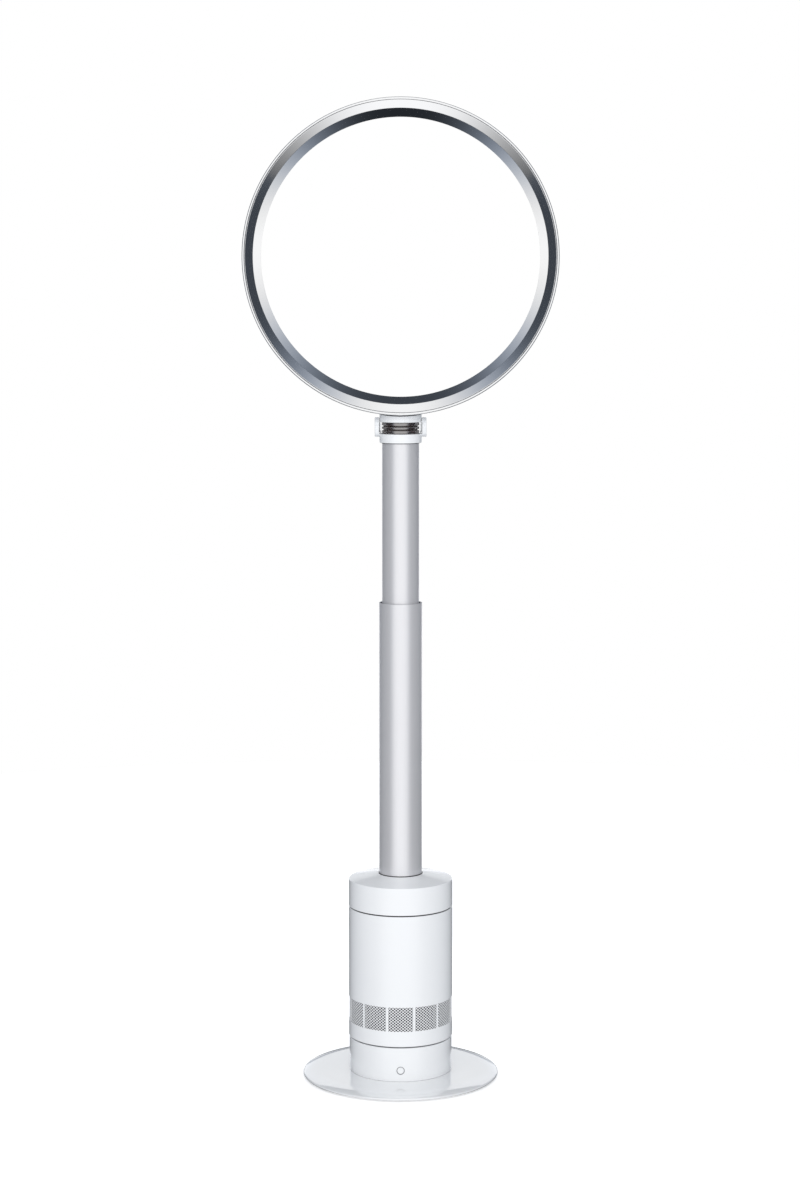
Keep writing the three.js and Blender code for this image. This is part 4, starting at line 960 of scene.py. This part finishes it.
class FAN_OT_inside(bpy.types.Operator):
    """Gives every solid that stays its finish"""

    bl_idname = "fan.inside"
    bl_label = "Finish what is inside"

    def execute(self, context):
        for name, node in frame["nodes"].items():
            material = finish(SLOT_OF[name])
            if not node.material_slots:
                node.data.materials.append(material)
            for place in node.material_slots:
                place.material = material
        return {"FINISHED"}


class FAN_OT_stage(bpy.types.Operator):
    """Lays the pale floor, lights the room and sets up the camera"""

    bl_idname = "fan.stage"
    bl_label = "Stage"

    def execute(self, context):
        self.lay_floor()
        self.light_room(context.scene)
        self.set_camera(context.scene)
        context.scene.view_settings.view_transform = "Standard"
        return {"FINISHED"}

    def lay_floor(self):
        clear_selection()
        bpy.ops.mesh.primitive_circle_add(vertices=128, radius=2.2, fill_type="NGON")
        floor = bpy.context.object
        floor.name = "floor"
        edit_all()
        bpy.ops.mesh.inset(thickness=0.4)
        leave_edit()
        material = bpy.data.materials.new("pale_floor")
        material.use_nodes = True
        tree = material.node_tree
        shader = tree.nodes["Principled BSDF"]
        place = added(tree, "TexCoord").outputs["Object"]
        cloud = noise(tree, place, 3.0, 2.0)
        pale = added(tree, "Mix", {0: cloud, 6: (0.78, 0.785, 0.795, 1), 7: (0.8, 0.805, 0.812, 1)},
                     data_type="RGBA")
        shader.inputs["Roughness"].default_value = 0.9
        shader.inputs["Specular IOR Level"].default_value = 0.1
        rays = added(tree, "LightPath").outputs

        # gloss sees a dark floor with a bright pool in front of the fan, as the polished pieces of the photo do
        # painted reflection: gloss rays see the floor painted dark, and a painted pool of light glows on it in front
        # of the fan
        gloss_painted_colour = added(tree, "Mix", {0: rays["Is Glossy Ray"], 6: pale.outputs[2], 7: (0.02, 0.022, 0.026, 1)},
                    data_type="RGBA")
        tree.links.new(gloss_painted_colour.outputs[2], shader.inputs["Base Color"])
        seen = calc(tree, "MAXIMUM", rays["Is Camera Ray"], rays["Is Transmission Ray"])
        glow = calc(tree, "MULTIPLY", seen, 0.5)
        outward = added(tree, "VectorMath", {0: place}, operation="NORMALIZE").outputs[0]
        ahead = added(tree, "VectorMath", {0: outward, 1: (0, -1, 0)}, operation="DOT_PRODUCT").outputs["Value"]
        painted_light_pool = ramp(tree, ahead, 0.54, 1.0, 0.03, 0.97)
        glow = calc(tree, "MULTIPLY_ADD", rays["Is Glossy Ray"], painted_light_pool, glow)
        tree.links.new(glow, shader.inputs["Emission Strength"])
        shader.inputs["Emission Color"].default_value = (1, 1, 1, 1)
        material.cycles.emission_sampling = "NONE"
        floor.data.materials.append(material)

    def light_room(self, scene):
        world = bpy.data.worlds.new("room")
        world.use_nodes = True
        world.cycles.sampling_method = "NONE"
        scene.world = world
        tree = world.node_tree
        heading = added(tree, "TexCoord").outputs["Generated"]
        x, y, z = added(tree, "SeparateXYZ", {0: heading}).outputs

        def between(start, end, share):
            return calc(tree, "ADD", start, calc(tree, "MULTIPLY", share, calc(tree, "SUBTRACT", end, start)))

        # what matt surfaces get: soft light, stronger from the front and from above, and never under a lowest level
        plain, from_front, from_above, lowest = 0.5, 0.27, 0.16, 0.12
        soft = calc(tree, "MULTIPLY_ADD", y, -from_front, plain)
        soft = calc(tree, "MAXIMUM", calc(tree, "MULTIPLY_ADD", z, from_above, soft), lowest)

        # what gloss reflects: bright panels in front, overhead and at both sides, with dark between them
        bright, brightest, dark = 0.95, 0.97, 0.055
        xx = calc(tree, "MULTIPLY", x, x)
        zz = calc(tree, "MULTIPLY", z, z)
        level = calc(tree, "DIVIDE", xx, calc(tree, "ADD", calc(tree, "ADD", xx, zz), 1e-5))
        upright = calc(tree, "SUBTRACT", 1.0, level)
        dim = calc(tree, "MULTIPLY_ADD", ramp(tree, z, -0.1, 0.1), 0.035, 0.02)
        dim = between(dim, bright, ramp(tree, z, 0.5, 0.58))
        behind = between(dim, bright, calc(tree, "POWER", level, 1.7))
        forward = calc(tree, "MULTIPLY", y, -1.0)
        overhead = calc(tree, "MULTIPLY", calc(tree, "POWER", upright, 2.5), ramp(tree, forward, 0.1, 0.35))
        beside = between(dark, bright, overhead)
        sharp = between(beside, behind, ramp(tree, y, 0.82, 0.94))
        sharp = between(sharp, brightest, ramp(tree, forward, 0.56, 0.86))

        # what the camera sees is plain white, and the darker parts of the room lean to blue
        rays = added(tree, "LightPath").outputs
        seen = calc(tree, "MAXIMUM", rays["Is Camera Ray"], rays["Is Transmission Ray"])
        strength = between(between(soft, sharp, rays["Is Glossy Ray"]), 1.0, seen)
        whiteness = calc(tree, "MAXIMUM", seen, ramp(tree, strength, 0.05, 0.9))
        tint = added(tree, "Mix", {0: whiteness, 6: (0.8, 0.93, 1.15, 1), 7: (1, 1, 1, 1)}, data_type="RGBA")
        sky = tree.nodes["Background"]
        tree.links.new(tint.outputs[2], sky.inputs["Color"])
        tree.links.new(strength, sky.inputs["Strength"])

        clear_selection()
        for name, place, tilt, width, height, watts, in_gloss in (
            ("front_softbox", (0, -3.0, 1.2), 80, 1.1, 1.1, 35.5, False),
            ("rear_softbox", (0, 3.0, 1.3), -79, 1.4, 1.4, 26, False),
            ("low_back_card", (0, 0.7, 0.3), -90, 0.8, 0.4, 0.8, True),
        ):
            bpy.ops.object.light_add(type="AREA", location=place, rotation=(math.radians(tilt), 0, 0))
            lamp = bpy.context.object
            lamp.name = name
            lamp.visible_camera = False
            lamp.visible_glossy = in_gloss
            lamp.data.shape = "RECTANGLE"
            lamp.data.size = width
            lamp.data.size_y = height
            lamp.data.energy = watts

    def set_camera(self, scene):
        tilt = math.radians(86.6)
        bpy.ops.object.camera_add(location=(0, -3.26, 0.9773), rotation=(tilt, 0, 0))
        camera = bpy.context.object
        camera.data.lens = 79.5
        camera.data.sensor_width = 36
        camera.data.shift_x = -0.0005
        camera.data.shift_y = -0.127
        scene.camera = camera


# ---- the sidebar and the run

STEPS = (FAN_OT_foot, FAN_OT_base, FAN_OT_body, FAN_OT_inlet, FAN_OT_column, FAN_OT_neck, FAN_OT_hoop,
         FAN_OT_inside, FAN_OT_stage)


class FAN_PT_sidebar(bpy.types.Panel):
    """Lists the steps and the sizes of the fan"""

    bl_idname = "FAN_PT_sidebar"
    bl_label = "Bladeless fan"
    bl_space_type = "VIEW_3D"
    bl_region_type = "UI"
    bl_category = "Fan"

    def draw(self, context):
        for step in STEPS:
            self.layout.operator(step.bl_idname, text=step.bl_label)
        for group in (context.scene.fan_sizes, context.scene.fan_finish):
            for name in group.__annotations__:
                self.layout.prop(group, name)


CLASSES = (FanSizes, FanFinish, *STEPS, FAN_PT_sidebar)


def register():
    for item in CLASSES:
        bpy.utils.register_class(item)
    bpy.types.Scene.fan_sizes = PointerProperty(type=FanSizes)
    bpy.types.Scene.fan_finish = PointerProperty(type=FanFinish)


def unregister():
    del bpy.types.Scene.fan_finish
    del bpy.types.Scene.fan_sizes
    for item in reversed(CLASSES):
        bpy.utils.unregister_class(item)


def main():
    register()
    for name in ("foot", "base", "body", "inlet", "column", "neck", "hoop", "inside", "stage"):
        getattr(bpy.ops.fan, name)()


if __name__ == "__main__":
    main()
